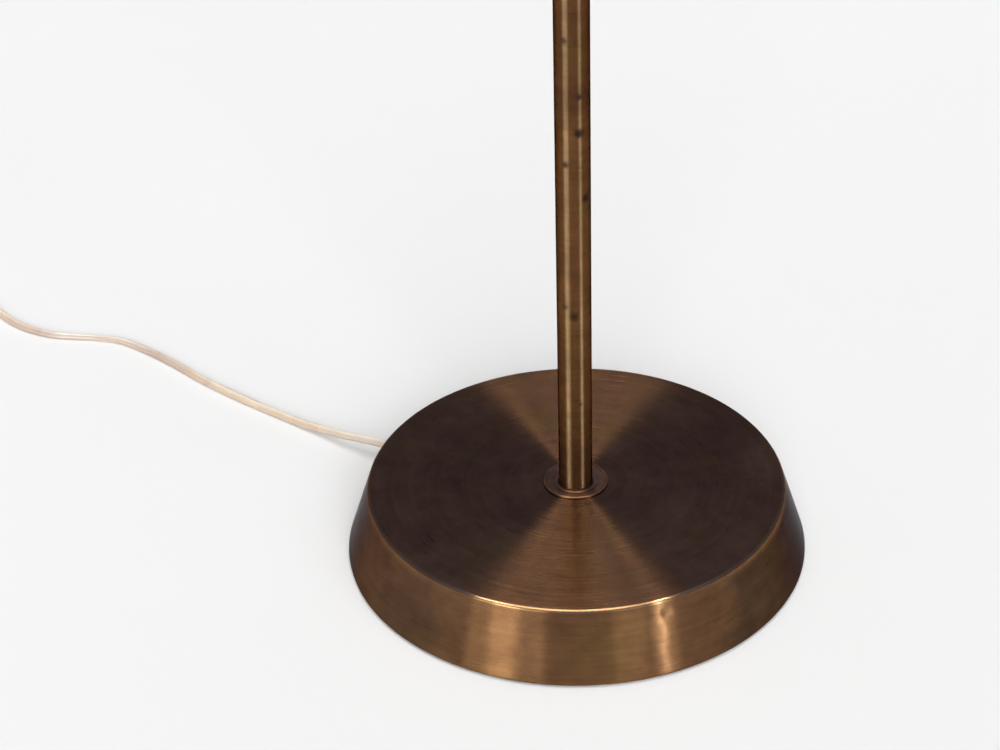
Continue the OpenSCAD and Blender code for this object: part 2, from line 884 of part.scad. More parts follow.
// Domed cap with a ball that closes the hub
module hub_cap() {
    dome_r = (hub_r * hub_r + cap_dome_h * cap_dome_h) / (2 * cap_dome_h);
    dome_top = hub_top + hub_chamfer + cap_dome_h;
    color("goldenrod")
        union() {
            rotate_extrude()
                polygon(concat(
                    [[0, hub_top - cap_spigot_l], [hub_cavity_r - fit, hub_top - cap_spigot_l]],
                    [[hub_cavity_r - fit, hub_top], [hub_r, hub_top]],
                    arc(0, dome_top - dome_r, dome_r, acos(hub_r / dome_r), 90, 10)
                ));
            translate([0, 0, dome_top + cap_ball_d / 2 - join])
                sphere(d = cap_ball_d);
        }
}

// Arm tube from the hub's cavity to the drum
module arm_tube() {
    color("goldenrod")
        translate([0, 0, arm_z])
            difference() {
                rod_x(arm_r, hub_cavity_r, arm_end);
                rod_x(arm_r - arm_wall, hub_cavity_r - join, arm_end + join);
            }
}

// Ring round the arm tube, seated on the hub
module arm_ferrule() {
    color("goldenrod")
        difference() {
            translate([0, 0, arm_z])
                difference() {
                    rod_x(ferrule_d / 2, hub_cavity_r, hub_r + ferrule_l);
                    rod_x(arm_r + fit, hub_cavity_r - join, hub_r + ferrule_l + join);
                }
            rod_z(hub_r + fit, hub_bottom, hub_top + join);
        }
}

// Drum at the arm's end with a socket for the tube and a slot for the lead
module arm_knuckle() {
    // Angle of the slot that the lead swings in
    lead_turn = 170;
    color("goldenrod")
        at_head()
            difference() {
                union() {
                    rod_y(knuckle_r, -knuckle_w / 2, knuckle_w / 2);
                    rod_x(arm_r + fit + socket_wall, -knuckle_r - socket_l, -knuckle_core_r);
                }
                rod_y(tilt_d / 2 + run, -knuckle_w, knuckle_w);
                rod_x(arm_r + fit, -knuckle_r - socket_l - join, -knuckle_r - join);
                rod_x(lead_bore_r, -knuckle_r - 2 * join, -knuckle_core_r);
                rotate([90, 0, 0])
                    rotate([0, 0, 180])
                        rotate_extrude(angle = lead_turn)
                            translate([knuckle_core_r, -lead_bore_r])
                                square([knuckle_r, lead_bore_d]);
            }
}

// Lead that lies in the arm tube
module arm_lead() {
    color("wheat")
        translate([0, 0, arm_z - arm_r + arm_wall + lead_d / 2 + gap])
            rod_x(lead_d / 2, hub_cavity_r, arm_end);
}

// Head

// Fork with two ears, bored for the tilt bolt, the nipple and the lead
module head_fork() {
    color("goldenrod")
        at_head()
            difference() {
                intersection() {
                    union() {
                        rod_y(knuckle_r, -ear_out, ear_out);
                        translate([-knuckle_r, -ear_out, -fork_l])
                            cube([knuckle_d, 2 * ear_out, fork_l]);
                    }
                    rod_z(fork_corner_r, -fork_l, knuckle_r);
                }
                translate([-knuckle_d, -ear_in, fork_slot_z])
                    cube([2 * knuckle_d, 2 * ear_in, 2 * knuckle_d]);
                rod_y(tilt_d / 2 + fit, -ear_out - join, ear_out + join);
                rod_z(stud_r + fit, -fork_l - join, -fork_l + nipple_in);
                rod_z(lead_bore_r, -fork_l, fork_slot_z + join);
            }
}

// Bolt with a slotted round head
module tilt_bolt() {
    under = -(ear_out + tilt_washer_t);
    slot = 1.2;
    // Length of the bolt's end inside the nut
    threaded_l = tilt_nut_l - 2;
    color("goldenrod")
        at_head()
            difference() {
                union() {
                    rod_y(tilt_d / 2, under - join, ear_out + tilt_washer_t + threaded_l);
                    rod_y(tilt_washer_d / 2 - gap, under - tilt_head_h, under);
                }
                translate([-tilt_washer_d, under - tilt_head_h - join, -slot / 2])
                    cube([2 * tilt_washer_d, join + slot, slot]);
            }
}

// Washers outside both ears
module tilt_washers() {
    color("silver")
        at_head()
            for (y = [-ear_out - tilt_washer_t, ear_out])
                difference() {
                    rod_y(tilt_washer_d / 2, y, y + tilt_washer_t);
                    rod_y(tilt_d / 2 + fit, y - join, y + tilt_washer_t + join);
                }
}

// Domed nut on the tilt bolt
module tilt_nut() {
    from = ear_out + tilt_washer_t;
    color("goldenrod")
        at_head()
            difference() {
                intersection() {
                    rod_y(tilt_washer_d / 2 - gap, from, from + tilt_nut_l);
                    translate([0, from, 0])
                        sphere(r = tilt_nut_l);
                }
                rod_y(tilt_d / 2 + fit, from - join, from + tilt_nut_l - 1.5);
            }
}

// Hollow nipple from the fork down into the lamp holder
module head_nipple() {
    color("goldenrod")
        at_head()
            ring_z(lead_bore_r, stud_r, nipple_bottom, -fork_l + nipple_in);
}

// Washer between the fork and the shade
module shade_seat() {
    color("goldenrod")
        at_head()
            ring_z(stud_r + hole_gap, seat_d / 2, seat_bottom, -fork_l);
}

// Spun shade: neck, cove, flare and rolled bead, with vents and the switch hole
module shade() {
    neck_x = shade_neck_r - shade_top_r;
    cove_x = shade_neck_r + shade_cove_r;
    rim = [shade_d / 2, shade_mouth];
    outline = concat(
        [[stud_r + hole_gap, shade_top - shade_t], [stud_r + hole_gap, shade_top]],
        arc(neck_x, shade_top - shade_top_r, shade_top_r, 90, 0, 8),
        arc(cove_x, shade_flare_top, shade_cove_r, 180, 180 + shade_flare, 8),
        [rim, rim - shade_t * [cos(shade_flare), sin(shade_flare)]],
        arc(cove_x, shade_flare_top, shade_cove_r + shade_t, 180 + shade_flare, 180, 8),
        arc(neck_x, shade_top - shade_top_r, shade_top_r - shade_t, 0, 90, 8)
    );
    color("goldenrod")
        at_head()
            difference() {
                union() {
                    rotate_extrude()
                        polygon(outline);
                    rotate_extrude()
                        translate([shade_d / 2 - shade_t, shade_mouth])
                            circle(d = shade_bead_d);
                }
                translate([0, 0, switch_z])
                    rod_y(switch_bush_d / 2 + fit, -shade_neck_d, 0);
                for (i = [0:vent_count - 1])
                    rotate([0, 0, 360 * (i + 0.5) / vent_count])
                        translate([0, 0, shade_top - vent_drop])
                            rod_x(vent_d / 2, 0, shade_neck_d);
            }
}

// Nut that clamps the shade
module shade_nut() {
    color("silver")
        at_head()
            hex_nut(shade_nut_top - nut_h);
}

// Upper half of the lamp holder, which holds the switch
module holder_cap() {
    top_r = 6;
    color("dimgray")
        at_head()
            difference() {
                rotate_extrude()
                    polygon(concat(
                        [[stud_r + fit, holder_ceiling], [stud_r + fit, holder_top]],
                        arc(holder_r - top_r, holder_top - top_r, top_r, 90, 0, 8),
                        [[holder_r, holder_joint], [holder_cavity_r, holder_joint]],
                        [[holder_cavity_r, holder_ceiling]]
                    ));
                translate([0, 0, switch_z])
                    rod_y(spindle_d / 2 + run, -holder_d, 0);
            }
}

// Lower half of the lamp holder
module holder_body() {
    color("dimgray")
        at_head()
            ring_z(insert_r + fit, holder_r, holder_bottom, holder_joint);
}

// Ceramic disc behind the threaded sleeve
module socket_insert() {
    color("white")
        at_head()
            rod_z(insert_r, insert_bottom, holder_joint);
}

// Threaded sleeve that the bulb screws into
module socket_shell() {
    color("gold")
        at_head()
            ring_z(sleeve_r, sleeve_r + sleeve_t, holder_bottom + 2, insert_bottom);
}

// Spring contact at the sleeve's middle
module centre_contact() {
    button_r = 4;
    strip = [sleeve_r - 2, 4, 0.5];
    color("gold")
        at_head()
            union() {
                rod_z(button_r, insert_bottom - contact_t, insert_bottom);
                translate([0, -strip[1] / 2, insert_bottom - strip[2]])
                    cube(strip);
            }
}

// Glass envelope with an open neck in the screw cap
module bulb_glass() {
    neck_top = bulb_arc_top + bulb_neck_in;
    middle = bulb_arc_top - bulb_drop;
    core_r = bulb_r - bulb_wall;
    // Last angle of the shoulder before it meets the round part
    meet = 180 + 0.9 * bulb_a;
    outline = concat(
        [[bulb_neck_r - bulb_wall, neck_top], [bulb_neck_r, neck_top]],
        arc(bulb_shoulder_x, bulb_arc_top, bulb_shoulder_r, 180, meet, 9),
        arc(0, middle, bulb_r, bulb_a, -90, 20),
        arc(0, middle, core_r, -90, bulb_a, 20),
        arc(bulb_shoulder_x, bulb_arc_top, bulb_shoulder_r + bulb_wall, meet, 180, 9)
    );
    color("whitesmoke")
        at_head()
            rotate_extrude()
                polygon(outline);
}

// Screw cap of the bulb, with its thread as rings
module bulb_cap() {
    rings = 5;
    step = 3.6;
    crest_r = 1;
    core_r = bulb_cap_d / 2 - 0.4;
    color("silver")
        at_head()
            difference() {
                union() {
                    rod_z(core_r, bulb_cap_bottom, bulb_cap_top);
                    for (i = [1:rings])
                        rotate_extrude()
                            translate([bulb_cap_d / 2 - crest_r, bulb_cap_top - step * i])
                                circle(r = crest_r);
                }
                rod_z(bulb_neck_r + fit, bulb_cap_bottom - join, bulb_arc_top + bulb_neck_in + fit);
            }
}

// Black glass cone and solder tip of the bulb
module bulb_contact() {
    tip_r = 4;
    cone_r = 5;
    color("black")
        at_head()
            union() {
                translate([0, 0, bulb_cap_top])
                    cylinder(r1 = bulb_cap_d / 2 - 2, r2 = cone_r, h = bulb_tip - bulb_cap_top - join);
                rod_z(tip_r, bulb_cap_top + join, bulb_tip);
            }
}

// Bush between lamp holder and shade for the switch spindle
module switch_bush() {
    flange_l = 4;
    color("goldenrod")
        at_head()
            difference() {
                translate([0, 0, switch_z])
                    union() {
                        rod_y(switch_bush_d / 2, bush_out, bush_in);
                        difference() {
                            rod_y(switch_flange_d / 2, bush_out, bush_out + flange_l);
                            translate([0, 0, -switch_flange_d])
                                rod_z(shade_neck_r + fit, 0, 2 * switch_flange_d);
                        }
                    }
                translate([0, 0, switch_z])
                    rod_y(spindle_d / 2 + run, bush_out - join, bush_in + join);
            }
}

// Two contact leaves that hang from the lamp holder's ceiling beside the cam
module switch_leaves() {
    leaf_l = holder_cap_h - holder_wall - 5;
    color("gold")
        at_head()
            for (s = [-1, 1])
                translate([s * (cam_d / 2 + 1) - leaf_t / 2, cam_out, holder_ceiling - leaf_l])
                    cube([leaf_t, cam_t, leaf_l]);
}

// Lead down the nipple
module head_lead() {
    color("wheat")
        at_head()
            rod_z(lead_d / 2, holder_joint + 6, fork_slot_z);
}

// Switch

// Spindle through the bush into the lamp holder
module switch_spindle() {
    color("silver")
        at_head()
            translate([0, 0, switch_z])
                rod_y(spindle_d / 2, spindle_out, cam_in);
}

// Cam with a flat side on the spindle
module switch_cam() {
    // Distance from the cam's axis to its flat side
    flat = cam_d * 0.35;
    color("sienna")
        at_head()
            translate([0, 0, switch_z])
                difference() {
                    rod_y(cam_d / 2, cam_out, cam_in);
                    rod_y(spindle_d / 2 + fit, cam_out - join, cam_in + join);
                    translate([-cam_d, cam_out - join, flat])
                        cube([2 * cam_d, cam_t + 2 * join, cam_d]);
                }
}

// Grooved knob on the spindle
module switch_knob() {
    // Where the knob's plain inner end begins
    grooves_in = knob_in - 2;
    color("black")
        at_head()
            translate([0, 0, switch_z])
                difference() {
                    rod_y(switch_knob_d / 2, knob_out, knob_in);
                    rod_y(spindle_d / 2 + fit, spindle_out, knob_in + join);
                    knob_grooves(switch_knob_d / 2, knob_out - join, grooves_in, switch_knob_grooves);
                }
}

// Cord

// Tapered bush in the shell's cord hole
module cord_gland() {
    flange_r0 = gland_in_r;
    flange_r1 = side_r(gland_z + gland_flange_d / 2, shell_t) - gap;
    color("wheat")
        toward_exit()
            translate([0, 0, gland_z])
                difference() {
                    union() {
                        rod_x(gland_flange_d / 2, flange_r0, flange_r1);
                        rod_x(gland_d / 2, flange_r0, gland_shell_r);
                        translate([gland_shell_r - join, 0, 0])
                            rotate([0, 90, 0])
                                cylinder(d1 = gland_d, d2 = gland_tip_d, h = gland_l + join);
                    }
                    rod_x(gland_bore_r, flange_r0 - join, gland_tip_r + join);
                }
}

// Block that clamps the cord against the weight's underside
module cord_clamp() {
    slot = [2 * clamp_block[0], cord_w + 2 * gap, cord_t + gap];
    below = weight_bottom - 2 * clamp_block[2];
    color("dimgray")
        toward_exit()
            difference() {
                translate([clamp_block_r, 0, weight_bottom - clamp_block[2]])
                    translate([-clamp_block[0] / 2, -clamp_block[1] / 2, 0])
                        cube(clamp_block);
                translate([clamp_block_r, 0, weight_bottom - slot[2]])
                    translate([-slot[0] / 2, -slot[1] / 2, 0])
                        cube([slot[0], slot[1], slot[2] + join]);
                for (s = [-1, 1])
                    translate([clamp_block_r, s * clamp_screw_pitch / 2, 0])
                        rod_z(clamp_bolt_r + hole_gap, below, weight_bottom + join);
            }
}

// Two screws of the cord clamp
module clamp_screws() {
    under = weight_bottom - clamp_block[2];
    color("silver")
        toward_exit()
            for (s = [-1, 1])
                translate([clamp_block_r, s * clamp_screw_pitch / 2, 0]) {
                    rod_z(clamp_bolt_head_r, under - clamp_bolt_head_h, under);
                    rod_z(clamp_bolt_r, under - join, weight_bottom + clamp_bolt_in);
                }
}

// Cord from the bush's outer end through the clamp and up the stud
module base_lead() {
    held = weight_bottom - (cord_t + gap) / 2;
    low = cover_top + 4;
    path = [
        [gland_tip_r, 0, gland_z],
        [gland_shell_r, 0, gland_z],
        [gland_in_r, 0, gland_z],
        [gland_in_r - 14, 0, gland_z + 4],
        [clamp_block_r + 14, 0, held - 1],
        [clamp_block_r, 0, held],
        [clamp_block_r - 14, 0, held - 1],
        [45, 0, held - 6],
        [28, 0, low + 2],
        [13, 0, low],
        [3.5, 0, low + 1.5],
        [0, 0, stud_bottom + 2],
        [0, 0, base_h],
        [0, 0, base_h + foot_plug_l]
    ];
    c = spline(path, [-20, 0, 0], [0, 0, 20], 3);
    color("wheat")
        toward_exit()
            flat_cord(c, [for (p = c) [0, 1, 0]], [-1, 0, 0], [0, 0, 1], 8);
}

// Lead up the pole to the arm's hub
module pole_lead() {
    color("wheat")
        rod_z(lead_d / 2, base_h + foot_plug_l + gap, post_top);
}

// Free stretch of the cord on the floor
module cord_run() {
    out = [cos(exit_az), sin(exit_az), 0];
    from = [gland_tip_r * out[0], gland_tip_r * out[1], gland_z, cord_route[0][3]];
    to = coil_start();
    route = concat([from], cord_route, [[to[0], to[1], to[2], 90]]);
    into = coil_heading(coil_in_az);
    s = spline(route, concat(20 * out, [0]), concat(20 * into, [0]), 2);
    c = [for (p = s) xyz(p)];
    wides = [
        for (i = [0:len(s) - 1])
            let (
                along = sweep_heading(c, out, into, i),
                side = unit(cross(along, [0, 0, 1])),
                up = cross(side, along)
            )
            side * cos(s[i][3]) + up * sin(s[i][3])
    ];
    color("wheat")
        flat_cord(c, wides, out, into, 8);
}

// Coil of the cord in two layers, wound on edge
module cord_coil() {
    c = coil_path();
    first = coil_heading(coil_in_az);
    last = coil_heading(coil_out_az);
    wides = [for (p = c) [0, 0, 1]];
    rings = [
        for (i = [0:len(c) - 1])
            cord_ring(c[i], sweep_heading(c, first, last, i), wides[i], coil_sides)
    ];
    echo(coil_least_gap = coil_gap(rings));
    color("wheat")
        flat_cord(c, wides, first, last, coil_sides);
}

// Short end of the cord from the coil to the plug
module cord_tail() {
    from = coil_end();
    last = coil_heading(coil_out_az);
    sag = [(from[0] + plug_end_x) / 2, from[1], (from[2] + plug_z) / 2 - 0.6];
    c = spline([from, sag, [plug_end_x, from[1], plug_z]], 20 * last, 20 * last, 3);
    color("wheat")
        flat_cord(c, [for (p = c) [0, 0, 1]], last, last, 8);
}

// Strap round the coil's turns
module cord_tie() {
    inner_r = coil_r - coil_pitch * coil_total / 2 - cord_t / 2 - gap;
    outer_r = coil_r + cord_t / 2 + gap;
    low = coil_z - cord_w / 2 - tie_t - 0.1;
    high = coil_z + coil_layer + cord_w / 2 + tie_t + 0.1;
    color("dimgray")
        translate([coil_at[0], coil_at[1], 0])
            rotate([0, 0, tie_az])
                difference() {
                    translate([inner_r - tie_t, -tie_w / 2, low])
                        cube([outer_r - inner_r + 2 * tie_t, tie_w, high - low]);
                    translate([inner_r, -tie_w, low + tie_t])
                        cube([outer_r - inner_r, 2 * tie_w, high - low - 2 * tie_t]);
                }
}

// Flat plug body with a tapered sleeve round the cord's end
module plug_body() {
    y = coil_end()[1];
    corner = 4;
    face = plug_w / 2 - corner;
    back = gland_d / 2;
    // Distance from the plug's back to its full width
    waist = plug_l * 0.55;
    color("ivory")
        translate([plug_end_x, y, 0])
            union() {
                translate([-plug_boot_l, 0, 0])
                    linear_extrude(plug_t)
                        offset(r = corner)
                            polygon([
                                [-corner, -back],
                                [-corner, back],
                                [-waist, face],
                                [-plug_l + corner, face],
                                [-plug_l + corner, -face],
                                [-waist, -face]
                            ]);
                translate([0, 0, plug_z])
                    rotate([0, -90, 0])
                        cylinder(d1 = gland_tip_d, d2 = gland_d + 1, h = plug_boot_l + join);
            }
}

// Two round pins of the plug
module plug_pins() {
    color("silver")
        for (s = [-1, 1])
            translate([0, coil_end()[1] + s * pin_pitch / 2, plug_z])
                union() {
                    rod_x(pin_d / 2, plug_face_x - pin_l, plug_face_x);
                    translate([plug_face_x - pin_l, 0, 0])
                        sphere(d = pin_d);
                }
}

base_shell();
base_weight();
base_cover();
base_felt();
cover_screws();
pole_collar();
pole_stud();
foot_plug();
base_washer();
lock_washer();
base_nut();
lower_pole();
clamp_collar();
cord_gland();
cord_clamp();
clamp_screws();
base_lead();
pole_lead();
cord_run();
cord_coil();
cord_tail();
cord_tie();
plug_body();
plug_pins();
inner_pole();
guide_bush();
swivel_post();
swivel_washers();
swivel_nut();
arm_hub();
hub_cap();
arm_tube();
arm_ferrule();
arm_knuckle();
arm_lead();
head_fork();
tilt_bolt();
tilt_washers();
tilt_nut();
head_nipple();
shade_seat();
shade();
shade_nut();
holder_cap();
holder_body();
socket_insert();
socket_shell();
centre_contact();
bulb_glass();
bulb_cap();
bulb_contact();
switch_bush();
switch_leaves();
head_lead();
switch_spindle();
switch_cam();
switch_knob();
clamp_knob();
clamp_tip();
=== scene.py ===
"""Floor lamp: finishes, finer shapes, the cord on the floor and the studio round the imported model."""

import logging
import math
from abc import ABC, abstractmethod
from dataclasses import dataclass, field
from enum import Enum

import bmesh
import bpy
from mathutils import Matrix, Vector, noise


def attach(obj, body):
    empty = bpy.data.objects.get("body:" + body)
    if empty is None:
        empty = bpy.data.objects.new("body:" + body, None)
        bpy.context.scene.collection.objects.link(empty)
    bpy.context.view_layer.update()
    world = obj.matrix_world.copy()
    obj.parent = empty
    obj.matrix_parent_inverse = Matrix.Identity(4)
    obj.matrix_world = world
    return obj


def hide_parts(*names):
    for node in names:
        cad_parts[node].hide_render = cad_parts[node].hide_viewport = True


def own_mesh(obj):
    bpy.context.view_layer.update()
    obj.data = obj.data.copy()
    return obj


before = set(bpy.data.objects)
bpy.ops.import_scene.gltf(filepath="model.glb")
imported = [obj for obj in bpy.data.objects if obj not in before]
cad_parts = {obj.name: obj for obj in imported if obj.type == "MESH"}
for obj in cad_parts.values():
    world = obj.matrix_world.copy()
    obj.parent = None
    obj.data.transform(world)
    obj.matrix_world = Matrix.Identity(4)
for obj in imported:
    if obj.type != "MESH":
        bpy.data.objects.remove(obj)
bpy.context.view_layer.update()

LOG = logging.getLogger("floor_lamp")
MM = 0.001
TURN_UV = "turn_uv"
CORD_UV = "cord_uv"
# Most values of a noise lie between these two.
USUAL = (0.3, 0.7)
ORIGIN = (0.0, 0.0, 0.0)
EAST = Vector((1.0, 0.0, 0.0))
NORTH = Vector((0.0, 1.0, 0.0))
UP = Vector((0.0, 0.0, 1.0))

Colour = tuple[float, float, float]
Place = tuple[float, float, float]
Outline = list[tuple[float, float]]
Node = bpy.types.Node
Outputs = bpy.types.NodeOutputs
Piece = bpy.types.Object
Socket = bpy.types.NodeSocket


class Along(Enum):
    """Direction of a turned piece's axis."""

    X = "x"
    Y = "y"
    Z = "z"


class Body(Enum):
    """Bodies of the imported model."""

    STAND = "stand"
    MAST = "mast"
    ARM = "arm"
    HEAD = "head"
    SWITCH = "switch"
    CLAMP = "clamp"


# Nodes and finishes


class NodePad:
    """Adds nodes to one tree and links them."""

    def __init__(self, tree: bpy.types.NodeTree) -> None:
        """Keeps the tree."""
        self.tree = tree

    def add(self, kind: str, inputs: dict | None = None, **settings: object) -> Node:
        """Adds one node.

        Args:
            kind: Blender's name of the node's type.
            inputs: Values, nodes or sockets for its inputs, by name or number.
            settings: The node's own properties.

        Returns:
            The new node.
        """
        node = self.tree.nodes.new(kind)
        for key, value in settings.items():
            setattr(node, key, value)
        for key, value in (inputs or {}).items():
            self.feed(node.inputs[key], value)
        return node

    def feed(self, socket: Socket, value: object) -> None:
        """Links a node or socket to an input, or sets the input's own value.

        Args:
            socket: The input.
            value: A node, a socket or a plain value; a colour comes without its alpha.
        """
        if isinstance(value, Node):
            value = value.outputs[0]
        if isinstance(value, Socket):
            self.tree.links.new(value, socket)
        else:
            socket.default_value = (*value, 1.0) if socket.type == "RGBA" else value

    def set(self, shader: Node, **values: object) -> None:
        """Feeds a shader's inputs, which are named in small letters with _ for a space."""
        for label, value in values.items():
            self.feed(shader.inputs[label.replace("_", " ").title()], value)

    def math(self, operation: str, first: object, second: object = 0.0) -> Socket:
        """Adds a Math node and returns its output."""
        return self.add("ShaderNodeMath", {0: first, 1: second}, operation=operation).outputs[0]

    def plus(self, first: object, second: object) -> Socket:
        """Adds two values."""
        return self.math("ADD", first, second)

    def minus(self, first: object, second: object) -> Socket:
        """Takes the second value from the first."""
        return self.math("SUBTRACT", first, second)

    def times(self, first: object, second: object) -> Socket:
        """Multiplies two values."""
        return self.math("MULTIPLY", first, second)

    def over(self, first: object, second: object) -> Socket:
        """Divides the first value by the second."""
        return self.math("DIVIDE", first, second)

    def xyz(self, x: object = 0.0, y: object = 0.0, z: object = 0.0) -> Node:
        """Adds a Combine XYZ node."""
        return self.add("ShaderNodeCombineXYZ", {0: x, 1: y, 2: z})

    def split(self, vector: object) -> Outputs:
        """Adds a Separate XYZ node and returns its three outputs."""
        return self.add("ShaderNodeSeparateXYZ", {0: vector}).outputs

    def uv(self, layer: str) -> Outputs:
        """Adds a UV Map node and returns its coordinates one by one."""
        return self.split(self.add("ShaderNodeUVMap", uv_map=layer))

    def place(self) -> Socket:
        """Adds a Texture Coordinate node and returns its Object output."""
        return self.add("ShaderNodeTexCoord").outputs["Object"]

    def noise(self, vector: object, scale: float, detail: float, rough: float) -> Socket:
        """Adds a Noise Texture and returns its factor."""
        inputs = {"Vector": vector, "Scale": scale, "Detail": detail, "Roughness": rough}
        return self.add("ShaderNodeTexNoise", inputs).outputs[0]

    def ramp(self, value: object, stops: list[tuple[float, Colour]]) -> Socket:
        """Adds a Color Ramp.

        Args:
            value: The factor.
            stops: Positions and colours, from low to high.

        Returns:
            The ramp's colour.
        """
        node = self.add("ShaderNodeValToRGB", {0: value})
        elements = node.color_ramp.elements
        while len(elements) < len(stops):
            elements.new(1.0)
        for element, (place, colour) in zip(elements, stops):
            element.position = place
            element.color = (*colour, 1.0)
        return node.outputs[0]

    def span(self, value: object, low: float, high: float, to_low: float, to_high: float) -> Socket:
        """Adds a clamped Map Range node and returns its result."""
        inputs = {0: value, 1: low, 2: high, 3: to_low, 4: to_high}
        return self.add("ShaderNodeMapRange", inputs, clamp=True).outputs[0]

    def sway(self, value: object, to_low: float, to_high: float) -> Socket:
        """Maps the usual range of a noise and returns the result."""
        return self.span(value, *USUAL, to_low, to_high)

    def mix(self, factor: object, first: object, second: object, blend: str = "MIX") -> Socket:
        """Adds a colour Mix node and returns its result."""
        inputs = {0: factor, 6: first, 7: second}
        return self.add("ShaderNodeMix", inputs, data_type="RGBA", blend_type=blend).outputs[2]

    def bump(self, shader: Node, height: object, depth: float) -> None:
        """Bumps the shader's normal by a height from 0 to 1, where 1 is a depth in metres."""
        self.set(shader, normal=self.add("ShaderNodeBump", {"Height": height, "Distance": depth}))


MADE: dict[str, bpy.types.Material] = {}


@dataclass(frozen=True)
class Finish(ABC):
    """A surface finish and the record's slot that it stands for."""

    name: str
    slot: str

    @abstractmethod
    def dress(self, pad: NodePad, shader: Node) -> None:
        """Adds this finish's nodes to a Principled shader."""

    def material(self) -> bpy.types.Material:
        """Makes the finish's material at its first use.

        Returns:
            The material, the same one at each use.
        """
        if self.name not in MADE:
            made = bpy.data.materials.new(self.name)
            made.use_nodes = True
            self.dress(NodePad(made.node_tree), made.node_tree.nodes["Principled BSDF"])
            MADE[self.name] = made
        return MADE[self.name]


@dataclass(frozen=True)
class Brushing:
    """Brush marks: cells per metre along them, lines per metre across them, and their noise."""

    loose: float
    fine: float
    detail: float
    rough: float


LINES = Brushing(26.0, 2400.0, 3.0, 0.6)
RINGS = Brushing(9.0, 330.0, 4.0, 0.65)
NICKS = Brushing(70.0, 800.0, 2.0, 0.5)


@dataclass(frozen=True)
class Spot:
    """A dark tarnish spot: middle and radius in millimetres, and depth of its colour."""

    x: float
    y: float
    z: float
    r: float
    depth: float


